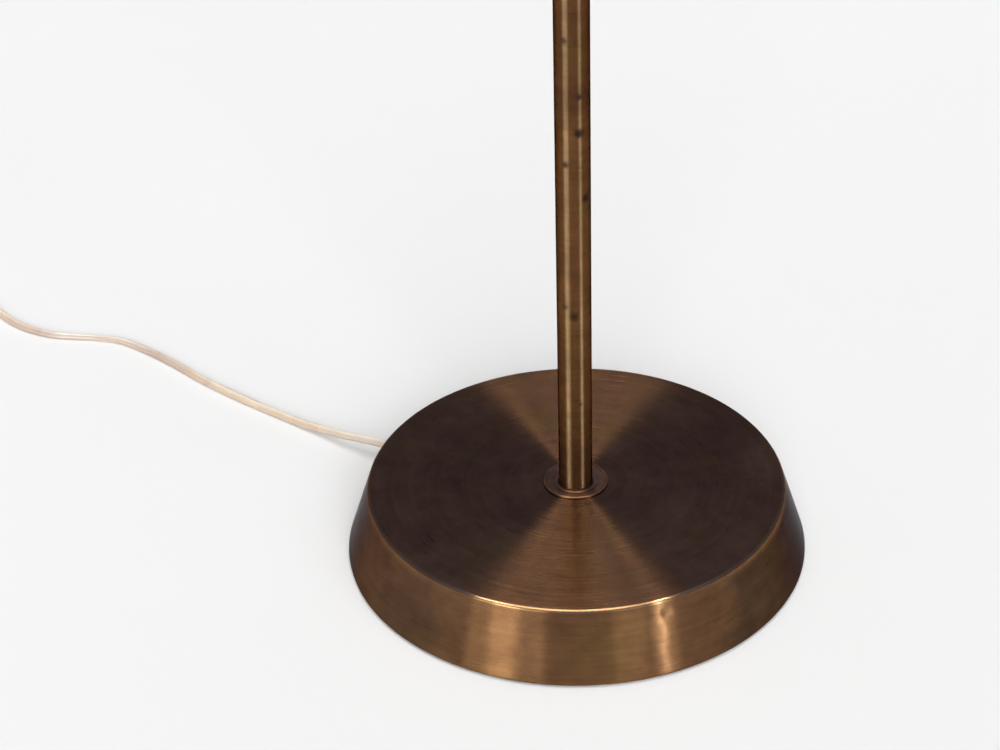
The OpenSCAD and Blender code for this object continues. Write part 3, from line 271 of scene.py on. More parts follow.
@dataclass(frozen=True)
class AgedBrass(Finish):
    """Brass brushed round its axis and browned by age.

    The worn band is given in millimetres along the outline. Below it, left and right darken the two flanks
    with a painted shade, and the worn band is dimmed there.
    """

    warm: Colour = (0.215, 0.104, 0.043)
    mid: Colour = (0.165, 0.077, 0.032)
    dark: Colour = (0.115, 0.051, 0.023)
    olive: Colour = (0.150, 0.092, 0.022)
    tarnish: Colour = (0.040, 0.021, 0.014)
    edge: Colour = (0.30, 0.31, 0.34)
    roughness: float = 0.26
    brushing: float = 1.0
    patch: float = 17.0
    dimples: float = 0.6
    relief: float = 0.00004
    spots: tuple[Spot, ...] = ()
    worn: tuple[float, float] | None = None
    worn_blend: float = 3.0
    bare: Colour = (0.34, 0.185, 0.078)
    # Painted shade: the colours that darken the left and the right flank, the right one more.
    left: Colour = (0.74, 0.80, 0.95)
    right: Colour = (0.47, 0.51, 0.59)
    lacquer: float = 0.12

    def dress(self, pad: NodePad, shader: Node) -> None:
        """Adds patina clouds, brush marks, tarnish spots, wear, a painted shade on the flanks and the
        stretched highlight.

        Args:
            pad: The material's nodes.
            shader: Its Principled shader.
        """
        place = pad.place()
        along = pad.uv(TURN_UV)[1]
        lines, rings, nicks = [self.marks(pad, place, along, kind) for kind in (LINES, RINGS, NICKS)]
        clouds = pad.noise(place, self.patch, 6.0, 0.62)
        mottle = pad.noise(place, self.patch * 7.0, 4.0, 0.6)
        green = pad.span(pad.noise(place, self.patch * 1.7, 3.0, 0.5), 0.52, 0.70, 0.0, 0.4)
        tone = pad.times(pad.span(rings, 0.25, 0.75, 0.86, 1.14), pad.sway(mottle, 0.88, 1.12))
        base = pad.ramp(clouds, [(0.30, self.dark), (0.50, self.mid), (0.68, self.warm)])
        base = pad.mix(green, base, self.olive)
        shade = pad.add("ShaderNodeCombineColor", dict.fromkeys(range(3), tone))
        base = pad.mix(1.0, base, shade, "MULTIPLY")
        base = pad.mix(pad.span(nicks, 0.68, 0.76, 0.0, 0.6), base, self.tarnish)
        rough = pad.plus(pad.span(lines, 0.2, 0.8, -0.05, 0.05), pad.sway(clouds, 0.05, -0.03))
        rough = pad.plus(rough, self.roughness)
        if self.spots:
            stain = self.stain(pad, place)
            base = pad.mix(stain, base, self.tarnish)
            rough = pad.plus(rough, pad.times(stain, 0.25))
        if self.worn:
            # Painted shade: below the worn band the flanks are darkened, and the polished edge is dimmed
            # there.
            flank_shade, flank_shade_tint = self.painted_flank_shade(pad, place, clouds)
            below = pad.span(along, self.worn[1] * MM, (self.worn[1] + self.worn_blend) * MM, 0.0, 1.0)
            base = pad.mix(pad.times(below, flank_shade), base, flank_shade_tint, "MULTIPLY")
            wear = pad.times(self.wear(pad, along, rings), pad.span(flank_shade, 0.0, 1.0, 1.0, 0.35))
            base = pad.mix(wear, base, self.bare)
            rough = pad.minus(rough, pad.times(wear, 0.04))
        tangent = pad.add("ShaderNodeTangent", direction_type="UV_MAP", uv_map=TURN_UV)
        pad.set(shader, base_color=base, roughness=rough, metallic=1.0, specular_tint=self.edge)
        pad.set(shader, anisotropic=self.brushing, anisotropic_rotation=0.25, tangent=tangent)
        pad.set(shader, coat_weight=self.lacquer, coat_roughness=0.25)
        height = pad.plus(pad.times(lines, 0.25), pad.times(mottle, self.dimples))
        pad.bump(shader, pad.plus(height, pad.times(rings, 0.5)), self.relief)

    def marks(self, pad: NodePad, place: Socket, along: Socket, kind: Brushing) -> Socket:
        """Gives noise that runs fast across the brushing and slowly along it.

        Args:
            pad: The material's nodes.
            place: Object coordinates.
            along: Distance across the brushing, in metres.
            kind: The brush marks.

        Returns:
            The noise.
        """
        slow = pad.add("ShaderNodeVectorMath", {0: place, "Scale": kind.loose}, operation="SCALE")
        fast = pad.xyz(z=pad.times(along, kind.fine))
        drawn = pad.add("ShaderNodeVectorMath", {0: slow, 1: fast}, operation="ADD")
        return pad.noise(drawn, 1.0, kind.detail, kind.rough)

    def wear(self, pad: NodePad, along: Socket, rings: Socket) -> Socket:
        """Gives the mask of an edge that handling has polished.

        Args:
            pad: The material's nodes.
            along: Distance across the brushing, in metres.
            rings: Noise that breaks the mask up.

        Returns:
            The mask.
        """
        middle = sum(self.worn) / 2.0 * MM
        half = (self.worn[1] - self.worn[0]) / 2.0 * MM
        away = pad.over(pad.math("ABSOLUTE", pad.minus(along, middle)), half)
        return pad.times(pad.span(away, 0.5, 1.0, 1.0, 0.0), pad.span(rings, 0.3, 0.6, 0.6, 1.0))

    def painted_flank_shade(self, pad: NodePad, place: Socket, clouds: Socket) -> tuple[Socket, Socket]:
        """Gives the painted shade that darkens the left and right flanks against front and back, and dims the
        polished edge there.

        Args:
            pad: The material's nodes.
            place: Object coordinates.
            clouds: Noise that breaks the mask up.

        Returns:
            The mask of both flanks, and the colour of their painted shade.
        """
        x, y, _ = pad.split(place)
        turn = pad.math("ABSOLUTE", pad.math("ARCTAN2", x, pad.math("ABSOLUTE", y)))
        turn = pad.plus(turn, pad.sway(clouds, 0.04, -0.04))
        flank_shade_tint = pad.mix(pad.span(x, -0.01, 0.01, 0.0, 1.0), self.left, self.right)
        return pad.span(turn, 0.55, 0.76, 0.0, 1.0), flank_shade_tint

    def stain(self, pad: NodePad, place: Socket) -> Socket:
        """Gives the mask of the tarnish spots, with ragged edges.

        Args:
            pad: The material's nodes.
            place: Object coordinates.

        Returns:
            The mask.
        """
        ragged = pad.sway(pad.noise(place, 420.0, 2.0, 0.5), -0.2, 0.2)
        mask = 0.0
        for spot in self.spots:
            middle = Vector((spot.x, spot.y, spot.z)) * MM
            away = pad.add("ShaderNodeVectorMath", {0: place, 1: middle}, operation="DISTANCE")
            reach = pad.plus(pad.over(away.outputs["Value"], spot.r * MM), ragged)
            mask = pad.math("MAXIMUM", mask, pad.span(reach, 0.25, 1.25, spot.depth, 0.0))
        return mask


@dataclass(frozen=True)
class PlainMetal(Finish):
    """Machined or plated metal with fine scratches."""

    colour: Colour
    dull: Colour
    roughness: float

    def dress(self, pad: NodePad, shader: Node) -> None:
        """Adds dull patches, scratches and a slight grain.

        Args:
            pad: The material's nodes.
            shader: Its Principled shader.
        """
        place = pad.place()
        clouds = pad.noise(place, 60.0, 5.0, 0.6)
        fine = pad.noise(place, 1400.0, 3.0, 0.6)
        rough = pad.plus(pad.sway(fine, -0.06, 0.06), pad.sway(clouds, 0.08, -0.04))
        colour = pad.ramp(clouds, [(0.35, self.dull), (0.65, self.colour)])
        pad.set(shader, base_color=colour, roughness=pad.plus(rough, self.roughness), metallic=1.0)
        pad.bump(shader, fine, 0.00001)


@dataclass(frozen=True)
class CastIron(Finish):
    """Grey iron with the skin of a sand casting."""

    skin: Colour = (0.055, 0.056, 0.06)
    film: Colour = (0.07, 0.06, 0.055)
    rust: Colour = (0.16, 0.07, 0.035)

    def dress(self, pad: NodePad, shader: Node) -> None:
        """Adds the rough skin and faint rust.

        Args:
            pad: The material's nodes.
            shader: Its Principled shader.
        """
        place = pad.place()
        clouds = pad.noise(place, 40.0, 6.0, 0.65)
        colour = pad.ramp(clouds, [(0.4, self.skin), (0.62, self.film), (0.75, self.rust)])
        pad.set(shader, base_color=colour, roughness=pad.span(clouds, 0.3, 0.8, 0.55, 0.85), metallic=0.6)
        pad.bump(shader, pad.noise(place, 900.0, 4.0, 0.6), 0.0004)


@dataclass(frozen=True)
class Moulding(Finish):
    """Moulded plastic, nylon, glaze or enamel with a faint mottle and fine grain."""

    colour: Colour
    shaded: Colour
    roughness: float
    coat: float = 0.0
    glow: float = 0.0
    patch: float = 90.0
    grain: float = 1500.0
    depth: float = 0.00001

    def dress(self, pad: NodePad, shader: Node) -> None:
        """Adds the mottle, uneven gloss and grain.

        Args:
            pad: The material's nodes.
            shader: Its Principled shader.
        """
        place = pad.place()
        mottle = pad.noise(place, self.patch, 5.0, 0.6)
        colour = pad.ramp(mottle, [(0.32, self.shaded), (0.6, self.colour)])
        rough = pad.plus(pad.sway(mottle, 0.06, -0.04), self.roughness)
        pad.set(shader, base_color=colour, roughness=rough, coat_weight=self.coat, coat_roughness=0.12)
        pad.set(shader, subsurface_weight=self.glow, subsurface_scale=0.003)
        pad.set(shader, subsurface_radius=(1.0, 0.8, 0.6))
        pad.bump(shader, pad.noise(place, self.grain, 3.0, 0.6), self.depth)


@dataclass(frozen=True)
class WoolFelt(Finish):
    """Thick wool felt."""

    dark: Colour = (0.020, 0.032, 0.017)
    mid: Colour = (0.030, 0.045, 0.024)
    pale: Colour = (0.05, 0.062, 0.04)

    def dress(self, pad: NodePad, shader: Node) -> None:
        """Adds matted fibres and a soft sheen.

        Args:
            pad: The material's nodes.
            shader: Its Principled shader.
        """
        place = pad.place()
        flecks = pad.noise(place, 260.0, 4.0, 0.7)
        colour = pad.ramp(flecks, [(0.3, self.dark), (0.55, self.mid), (0.75, self.pale)])
        pad.set(shader, base_color=colour, roughness=0.95, sheen_weight=0.5, sheen_roughness=0.5)
        pad.bump(shader, pad.noise(place, 1300.0, 5.0, 0.75), 0.0005)


@dataclass(frozen=True)
class ClearFlex(Finish):
    """Clear two-core flex that has yellowed, with its cores showing through."""

    sheath: Colour = (0.74, 0.595, 0.42)
    pale: Colour = (0.86, 0.775, 0.64)
    # Painted light across the width: the pale side colour is a painted highlight, pink is both a tone along
    # the length and the painted shade of the other side, and the groove colour is a painted shade.
    pink_tone_and_shade: Colour = (0.58, 0.44, 0.365)
    painted_lit_side: Colour = (0.93, 0.86, 0.74)
    painted_groove_shade: Colour = (0.36, 0.27, 0.19)
    copper: Colour = (0.50, 0.36, 0.26)
    stretch: float = 0.31

    def dress(self, pad: NodePad, shader: Node) -> None:
        """Adds the cores, a painted shade meant for the groove between them, a painted highlight on one side
        and a painted shade on the other, and uneven yellowing along the length.

        Args:
            pad: The material's nodes.
            shader: Its Principled shader.
        """
        turn, run, _ = pad.uv(CORD_UV)
        length = pad.xyz(x=run)
        worn = pad.noise(length, 26.0, 2.0, 0.5)
        strands = pad.noise(pad.xyz(pad.times(turn, 46.0), pad.times(run, 240.0)), 1.0, 3.0, 0.6)
        place = pad.over(pad.math("PINGPONG", run, self.stretch), self.stretch)
        place = pad.plus(place, pad.sway(worn, -0.1, 0.1))
        tones = [(0.08, self.pale), (0.24, self.sheath), (0.46, self.sheath), (0.60, self.pink_tone_and_shade)]
        tones += [(0.78, self.pale), (0.88, self.pink_tone_and_shade), (1.0, self.sheath)]
        # Painted light and shade round the section, with a drift: one side paler, the other pinker, and two
        # thin lines along the cord, meant as the groove, darker.
        turn = pad.plus(turn, pad.sway(pad.noise(length, 14.0, 3.0, 0.6), -0.13, 0.13))
        side = pad.math("COSINE", pad.times(pad.minus(turn, 0.23), math.tau))
        wave = pad.math("COSINE", pad.times(turn, 4.0 * math.pi))
        colour = pad.ramp(place, tones)
        colour = pad.mix(pad.span(side, -0.4, 0.3, 0.52, 0.0), colour, self.pink_tone_and_shade)
        colour = pad.mix(pad.span(side, 0.1, 0.9, 0.0, 0.5), colour, self.painted_lit_side)
        colour = pad.mix(pad.span(wave, -1.0, -0.72, 0.55, 0.0), colour, self.painted_groove_shade)
        colour = pad.mix(pad.span(strands, 0.5, 0.72, 0.0, 0.28), colour, self.copper)
        pad.set(shader, base_color=colour, roughness=pad.sway(worn, 0.36, 0.24))
        pad.set(shader, subsurface_weight=0.25, subsurface_radius=(1.0, 0.75, 0.5), subsurface_scale=0.0015)
        pad.set(shader, coat_weight=0.35, coat_roughness=0.18)
        pad.bump(shader, pad.noise(length, 150.0, 3.0, 0.6), 0.00012)


@dataclass(frozen=True)
class WovenStrap(Finish):
    """Black woven strap."""

    warps: float = 1400.0
    wefts: float = 1100.0
    under: Colour = (0.010, 0.010, 0.011)
    thread: Colour = (0.032, 0.031, 0.033)

    def dress(self, pad: NodePad, shader: Node) -> None:
        """Adds the weave's warp and weft.

        Args:
            pad: The material's nodes.
            shader: Its Principled shader.
        """
        across, run, _ = pad.uv(CORD_UV)
        warp = pad.math("SINE", pad.times(across, math.tau * self.warps))
        weft = pad.math("SINE", pad.times(run, math.tau * self.wefts))
        weave = pad.span(pad.times(warp, weft), -1.0, 1.0, 0.0, 1.0)
        colour = pad.ramp(weave, [(0.2, self.under), (0.8, self.thread)])
        pad.set(shader, base_color=colour, roughness=0.85, sheen_weight=0.3)
        pad.bump(shader, weave, 0.00025)


POLE_SPOTS = (
    Spot(2.88, -8.53, 254.3, 2.7, 0.9),
    Spot(-4.12, -8.00, 237.1, 1.8, 0.75),
    Spot(3.02, -8.48, 274.4, 1.7, 0.7),
    Spot(6.21, -6.51, 217.4, 2.6, 0.75),
    Spot(-3.94, -8.09, 304.2, 2.0, 0.6),
    Spot(-0.41, -8.99, 149.5, 2.7, 0.75),
    Spot(-4.92, -7.54, 154.7, 1.9, 0.6),
    Spot(2.86, -8.53, 95.4, 1.5, 0.6),
    Spot(-3.2, 8.41, 182.0, 2.4, 0.8),
    Spot(5.4, 7.2, 301.0, 2.0, 0.8),
    Spot(-7.9, 4.3, 402.0, 2.3, 0.8),
    Spot(7.6, -4.8, 468.0, 2.1, 0.8),
    Spot(-5.1, -7.4, 545.0, 2.3, 0.8),
    Spot(2.2, 8.72, 610.0, 1.9, 0.8),
)

# The base's brass also carries the painted shade on its flanks.
BASE_BRASS = AgedBrass("base_aged_brass_painted_flank_shade", "aged_brass", roughness=0.24, dimples=0.25, worn=(106.6, 109.6))
POLE_BRASS = AgedBrass(
    "pole_aged_brass", "aged_brass", (0.222, 0.105, 0.036), (0.174, 0.077, 0.027), (0.126, 0.054, 0.020),
    edge=(0.05, 0.07, 0.11), roughness=0.38, patch=24.0, spots=POLE_SPOTS, lacquer=0.03,
)
RING_BRASS = AgedBrass(
    "ring_aged_brass", "aged_brass", (0.366, 0.182, 0.079), (0.265, 0.128, 0.060), (0.165, 0.081, 0.040),
    roughness=0.36, brushing=0.8, patch=60.0,
)
HEAD_BRASS = AgedBrass("head_aged_brass", "aged_brass", roughness=0.3, brushing=0.9, patch=20.0)
TURNED_BRASS = PlainMetal("machined_brass", "plain_brass", (0.50, 0.30, 0.09), (0.34, 0.19, 0.06), 0.32)
ZINC = PlainMetal("zinc_plated_steel", "steel", (0.42, 0.42, 0.43), (0.28, 0.28, 0.29), 0.38)
NICKEL = PlainMetal("nickel_plate", "nickel", (0.62, 0.60, 0.57), (0.46, 0.44, 0.41), 0.2)
IRON = CastIron("cast_iron", "iron")
FELT = WoolFelt("wool_felt", "felt")
FLEX = ClearFlex("clear_flex_painted_side_light", "clear_cord")
STRAP = WovenStrap("woven_strap", "tie")
BUSH = Moulding("cord_bush_moulding", "cord_bush", (0.60, 0.52, 0.40), (0.50, 0.42, 0.32), 0.5, glow=0.1)
NYLON = Moulding("natural_nylon", "nylon", (0.74, 0.71, 0.62), (0.66, 0.62, 0.53), 0.45, glow=0.2)
PLUG = Moulding(
    "plug_moulding", "plug", (0.72, 0.66, 0.52), (0.64, 0.57, 0.43), 0.38,
    glow=0.08, grain=2600.0, depth=0.00002,
)
BAKELITE = Moulding(
    "black_moulding", "black_plastic", (0.018, 0.015, 0.013), (0.011, 0.009, 0.008), 0.28,
    coat=0.3, patch=140.0,
)
CERAMIC = Moulding("glazed_ceramic", "ceramic", (0.78, 0.75, 0.68), (0.70, 0.66, 0.58), 0.2, coat=0.5)
ENAMEL = Moulding(
    "cream_enamel", "aged_brass", (0.80, 0.77, 0.68), (0.73, 0.69, 0.58), 0.42, patch=24.0, depth=0.00003,
)
OPAL = Moulding(
    "opal_bulb_glass", "opal_glass", (0.86, 0.85, 0.81), (0.82, 0.80, 0.75), 0.14, coat=0.4, glow=0.4,
)


# Shapes

# Distances in metres within which points are one, and angles at which edges are softened or stay sharp.
SEAM = 0.002 * MM
WELD = 0.008 * MM
SLIVER = 0.004 * MM
FLAT = math.radians(0.4)
CREASE = math.radians(34.0)
SHARP_SHADE = math.radians(36.0)
SHARP_EDGE = math.radians(38.0)
# A point closer to the axis than this is on it.
ON_AXIS = 1e-6
# Round leads, and the length of a spline's end directions, in millimetres.
LEAD_R = 2.5
LEAD_SIDES = 16
PULL = 20.0


class ShapeTree(ABC):
    """A Geometry Nodes tree that shapes a piece from named sizes."""

    name: str
    counts: tuple[str, ...] = ()
    sizes: tuple[str, ...] = ()
    points: tuple[str, ...] = ()

    @abstractmethod
    def build(self, pad: NodePad, given: Outputs) -> Socket:
        """Adds the tree's nodes and returns the socket of the finished shape."""

    def tree(self) -> bpy.types.NodeTree:
        """Makes the tree at its first use.

        Returns:
            The tree, with one input for each size, ending in Realize Instances and Set Material.
        """
        if self.name in bpy.data.node_groups:
            return bpy.data.node_groups[self.name]
        tree = bpy.data.node_groups.new(self.name, "GeometryNodeTree")
        sockets = {"Geometry": "NodeSocketGeometry", "Finish": "NodeSocketMaterial"}
        sockets |= dict.fromkeys(self.counts, "NodeSocketInt")
        sockets |= dict.fromkeys(self.sizes, "NodeSocketFloat")
        sockets |= dict.fromkeys(self.points, "NodeSocketVector")
        for label, kind in sockets.items():
            tree.interface.new_socket(label, in_out="INPUT", socket_type=kind)
        tree.interface.new_socket("Geometry", in_out="OUTPUT", socket_type="NodeSocketGeometry")
        pad = NodePad(tree)
        given = pad.add("NodeGroupInput").outputs
        real = pad.add("GeometryNodeRealizeInstances", {0: self.build(pad, given)})
        dressed = pad.add("GeometryNodeSetMaterial", {"Geometry": real, "Material": given["Finish"]})
        pad.add("NodeGroupOutput", {0: dressed})
        return tree

    def apply(self, piece: Piece, finish: Finish, **sizes: object) -> None:
        """Shapes a piece and turns the result into a plain mesh.

        Args:
            piece: The object whose mesh the tree starts from.
            finish: The finish of the result.
            sizes: Values of the tree's inputs, with _ for a space.
        """
        tree = self.tree()
        modifier = piece.modifiers.new(self.name, "NODES")
        modifier.node_group = tree
        sockets = [item for item in tree.interface.items_tree if item.item_type == "SOCKET"]
        inputs = {item.name: item.identifier for item in sockets if item.in_out == "INPUT"}
        for label, value in sizes.items():
            modifier[inputs[label.replace("_", " ").capitalize()]] = value
        modifier[inputs["Finish"]] = finish.material()
        piece.update_tag()
        graph = bpy.context.evaluated_depsgraph_get()
        shaped = piece.evaluated_get(graph)
        mesh = bpy.data.meshes.new_from_object(shaped, preserve_all_data_layers=True, depsgraph=graph)
        piece.modifiers.remove(modifier)
        mesh.materials.clear()
        mesh.materials.append(finish.material())
        mesh.polygons.foreach_set("material_index", [0] * len(mesh.polygons))
        spare = piece.data
        piece.data = mesh
        bpy.data.meshes.remove(spare)


class TurnedTree(ShapeTree):
    """Turns an outline of points (radius, length, height) round the Z axis."""

    name = "turned_piece"
    counts = ("Segments",)
    sizes = ("Crease",)

    def build(self, pad: NodePad, given: Outputs) -> Socket:
        """Bends a grid round the axis, one row for each point of the outline.

        Args:
            pad: The tree's nodes.
            given: The tree's inputs.

        Returns:
            The socket of the finished shape.
        """
        outline = given["Geometry"]
        domain = pad.add("GeometryNodeAttributeDomainSize", {0: outline}, component="MESH")
        count = domain.outputs["Point Count"]
        cells = {"Vertices X": pad.plus(given["Segments"], 1.0), "Vertices Y": count}
        grid = pad.add("GeometryNodeMeshGrid", {"Size X": 1.0, "Size Y": 1.0, **cells})
        across, down, _ = pad.split(grid.outputs["UV Map"])
        row = pad.math("ROUND", pad.times(down, pad.minus(count, 1.0)))
        sample = {"Geometry": outline, "Value": pad.add("GeometryNodeInputPosition"), "Index": row}
        point = pad.add("GeometryNodeSampleIndex", sample, data_type="FLOAT_VECTOR", clamp=True)
        radius, length, height = pad.split(point)
        turn = pad.times(across, math.tau)
        x, y = [pad.times(radius, pad.math(part, turn)) for part in ("COSINE", "SINE")]
        spun = {"Geometry": grid.outputs["Mesh"], "Position": pad.xyz(x, y, height)}
        shape = pad.add("GeometryNodeSetPosition", spun)
        marks = {"Geometry": shape, "Name": TURN_UV, "Value": pad.xyz(across, length)}
        shape = pad.add("GeometryNodeStoreNamedAttribute", marks, data_type="FLOAT2", domain="CORNER")
        shape = pad.add("GeometryNodeMergeByDistance", {"Geometry": shape, "Distance": SEAM})
        angle = pad.add("GeometryNodeInputMeshEdgeAngle").outputs["Unsigned Angle"]
        crease = pad.math("GREATER_THAN", angle, given["Crease"])
        sharp = {0: smooth(pad, shape), "Selection": crease, "Shade Smooth": False}
        return pad.add("GeometryNodeSetShadeSmooth", sharp, domain="EDGE").outputs[0]


class DrilledTree(ShapeTree):
    """Drills round holes in a ring through a wall round the Z axis."""

    name = "drilled_ring"
    counts = ("Count",)
    sizes = ("First angle", "Radius", "Reach", "Length", "Height")

    def build(self, pad: NodePad, given: Outputs) -> Socket:
        """Sets drills in a ring and takes them from the piece.

        Args:
            pad: The tree's nodes.
            given: The tree's inputs.

        Returns:
            The socket of the finished shape.
        """
        size = {"Vertices": 36, "Radius": given["Radius"], "Depth": given["Length"]}
        lie = {"Geometry": pad.add("GeometryNodeMeshCylinder", size).outputs["Mesh"]}
        lie["Rotation"] = (0.0, math.pi / 2.0, 0.0)
        lie["Translation"] = pad.xyz(given["Reach"], z=given["Height"])
        drills = ring_of(pad, pad.add("GeometryNodeTransform", lie), given["Count"], given["First angle"])
        cut = pad.add("GeometryNodeMeshBoolean", operation="DIFFERENCE", solver="EXACT")
        pad.feed(cut.inputs["Mesh 1"], given["Geometry"])
        pad.feed(cut.inputs["Mesh 2"], drills)
        return cut.outputs["Mesh"]


class RibbedTree(ShapeTree):
    """Sets round ribs in a ring on a knob that is turned round the Z axis."""

    name = "ribbed_knob"
    counts = ("Count",)
    sizes = ("Radius", "Reach", "Length", "Height")

    def build(self, pad: NodePad, given: Outputs) -> Socket:
        """Makes one rib with rounded ends, sets it in a ring and adds the knob's body.

        Args:
            pad: The tree's nodes.
            given: The tree's inputs.

        Returns:
            The socket of the finished shape.
        """
        half = pad.minus(pad.over(given["Length"], 2.0), given["Radius"])
        stand = {"Translation": pad.xyz(given["Reach"], z=given["Height"])}
        stand["Geometry"] = round_rib(pad, 10, given["Radius"], half)
        ribs = ring_of(pad, pad.add("GeometryNodeTransform", stand), given["Count"], 0.0)
        return joined(pad, given["Geometry"], ribs)


class GripTree(ShapeTree):
    """Sets a row of grip ribs across the two flat sides of a plug."""

    name = "grip_ribs"
    counts = ("Count",)
    sizes = ("Pitch", "Radius", "Length")
    points = ("First", "Second")

    def build(self, pad: NodePad, given: Outputs) -> Socket:
        """Makes one rib, repeats it along X on both sides and adds the plug's body.

        Args:
            pad: The tree's nodes.
            given: The tree's inputs.

        Returns:
            The socket of the finished shape.
        """
        rib = round_rib(pad, 8, given["Radius"], pad.over(given["Length"], 2.0))
        rib = pad.add("GeometryNodeTransform", {"Geometry": rib, "Rotation": (math.pi / 2.0, 0.0, 0.0)})
        steps = {"Count": given["Count"], "Offset": pad.xyz(given["Pitch"])}
        rows = []
        for start in self.points:
            line = pad.add("GeometryNodeMeshLine", {"Start Location": given[start], **steps}, mode="OFFSET")
            ribs = pad.add("GeometryNodeInstanceOnPoints", {"Points": line, "Instance": rib})
            rows.append(pad.add("GeometryNodeRealizeInstances", {0: ribs}))
        return joined(pad, given["Geometry"], *rows)


def smooth(pad: NodePad, shape: object) -> Node:
    """Adds a node that shades all faces smooth."""
    return pad.add("GeometryNodeSetShadeSmooth", {0: shape, "Shade Smooth": True}, domain="FACE")


def joined(pad: NodePad, *shapes: object) -> Socket:
    """Joins shapes in a tree and shades them smooth.

    Args:
        pad: The tree's nodes.
        shapes: The shapes.

    Returns:
        The socket of the joined shape.
    """
    join = pad.add("GeometryNodeJoinGeometry")
    for shape in shapes:
        pad.feed(join.inputs[0], shape)
    return smooth(pad, join).outputs[0]


def round_rib(pad: NodePad, sides: int, radius: Socket, half: Socket) -> Node:
    """Makes a rib along Z with rounded ends: a ball whose halves are drawn apart.

    Args:
        pad: The tree's nodes.
        sides: Steps round the rib.
        radius: The rib's radius.
        half: How far each half of the ball is moved.

    Returns:
        The node with the rib.
    """
    ball = pad.add("GeometryNodeMeshUVSphere", {"Segments": sides, "Rings": 8, "Radius": radius})
    side = pad.math("SIGN", pad.split(pad.add("GeometryNodeInputPosition"))[2])
    drawn = {"Geometry": ball.outputs["Mesh"], "Offset": pad.xyz(z=pad.times(side, half))}
    return pad.add("GeometryNodeSetPosition", drawn)


def ring_of(pad: NodePad, shape: Node, count: Socket, first: object) -> Node:
    """Repeats a shape in a ring round the Z axis.

    Args:
        pad: The tree's nodes.
        shape: The shape, in place for angle 0.
        count: How many there are.
        first: Angle of the first one.

    Returns:
        The node with the whole ring.
    """
    angle = pad.plus(pad.times(pad.add("GeometryNodeInputIndex"), pad.over(math.tau, count)), first)
    points = pad.add("GeometryNodePoints", {"Count": count})
    ring = {"Points": points, "Instance": shape, "Rotation": pad.xyz(z=angle)}
    return pad.add("GeometryNodeRealizeInstances", {0: pad.add("GeometryNodeInstanceOnPoints", ring)})


TURNED = TurnedTree()
DRILLED = DrilledTree()
RIBBED = RibbedTree()
GRIP = GripTree()


def arc(x: float, z: float, r: float, first: float, last: float, steps: int) -> Outline:
    """Gives points of an arc round (x, z) in millimetres, from a first to a last angle in degrees."""
    angles = [math.radians(first + (last - first) * i / steps) for i in range(steps + 1)]
    return [(x + r * math.cos(a), z + r * math.sin(a)) for a in angles]


def limited(value: float) -> float:
    """Keeps a value between 0 and 1."""
    return max(0.0, min(1.0, value))


def stretch(first: tuple[float, float], last: tuple[float, float], steps: int) -> Outline:
    """Gives points of a straight line without its two ends."""
    share = [i / steps for i in range(1, steps)]
    return [(first[0] + (last[0] - first[0]) * t, first[1] + (last[1] - first[1]) * t) for t in share]


def tube_outline(bore: float, r: float, low: float, high: float, soft: float, steps: int) -> Outline:
    """Gives the outline of a tube with softened ends.

    Args:
        bore: Inside radius in millimetres.
        r: Outside radius.
        low: Lower end.
        high: Upper end.
        soft: Width of the softened edges.
        steps: Steps along the outside.

    Returns:
        Radii and heights in millimetres.
    """
    first, last = (r, low + soft), (r, high - soft)
    side = [first, *stretch(first, last, steps), last]
    return [(bore, low), (r - soft, low), *side, (r - soft, high), (bore, high)]


def placed(along: Along, at: Place) -> Matrix:
    """Gives the place of a turned piece.

    Args:
        along: Where the piece's own +Z points. X and Y mean toward -X and -Y.
        at: The piece's own origin in millimetres.

    Returns:
        The matrix, in metres.
    """
    turn = {
        Along.X: Matrix.Rotation(-math.pi / 2.0, 4, "Y"),
        Along.Y: Matrix.Rotation(math.pi / 2.0, 4, "X"),
        Along.Z: Matrix.Identity(4),
    }
    return Matrix.Translation(Vector(at) * MM) @ turn[along]


def new_piece(name: str, mesh: bpy.types.Mesh) -> Piece:
    """Makes an object of a mesh and links it to the scene.

    Args:
        name: The object's name.
        mesh: The mesh.

    Returns:
        The object.
    """
    piece = bpy.data.objects.new(name, mesh)
    bpy.context.scene.collection.objects.link(piece)
    return piece


def piece_of(name: str, shape: bmesh.types.BMesh, finish: Finish) -> Piece:
    """Makes a piece of a shape.

    Args:
        name: The piece's name.
        shape: The shape, in metres, which is used up.
        finish: The piece's finish.

    Returns:
        The piece, in place.
    """
    mesh = bpy.data.meshes.new(name)
    shape.to_mesh(mesh)
    shape.free()
    mesh.materials.append(finish.material())
    return new_piece(name, mesh)


def turned(name: str, outline: Outline, finish: Finish, segments: int) -> Piece:
    """Turns an outline round the Z axis.

    Args:
        name: The piece's name.
        outline: Radii and heights in millimetres; an outline off the axis is closed here.
        finish: The piece's finish.
        segments: Steps round the axis.

    Returns:
        The piece, round its own Z axis.
    """
    points = list(outline)
    if max(points[0][0], points[-1][0]) > ON_AXIS:
        points.append(points[0])
    run = 0.0
    rows = []
    for i, (r, z) in enumerate(points):
        run += math.dist(points[i - 1], (r, z)) if i else 0.0
        rows.append((r * MM, run * MM, z * MM))
    mesh = bpy.data.meshes.new(name)
    mesh.from_pydata(rows, [(i, i + 1) for i in range(len(rows) - 1)], [])
    piece = new_piece(name, mesh)
    TURNED.apply(piece, finish, segments=segments, crease=CREASE)
    close(piece)
    return piece


def close(piece: Piece) -> None:
    """Turns all faces of a closed piece outward and drops edges without a face.

    Args:
        piece: The piece.
    """
    shape = bmesh.new()
    shape.from_mesh(piece.data)
    loose = [edge for edge in shape.edges if not edge.link_faces]
    bmesh.ops.delete(shape, geom=loose, context="EDGES")
    bmesh.ops.recalc_face_normals(shape, faces=shape.faces)
    shape.to_mesh(piece.data)
    shape.free()


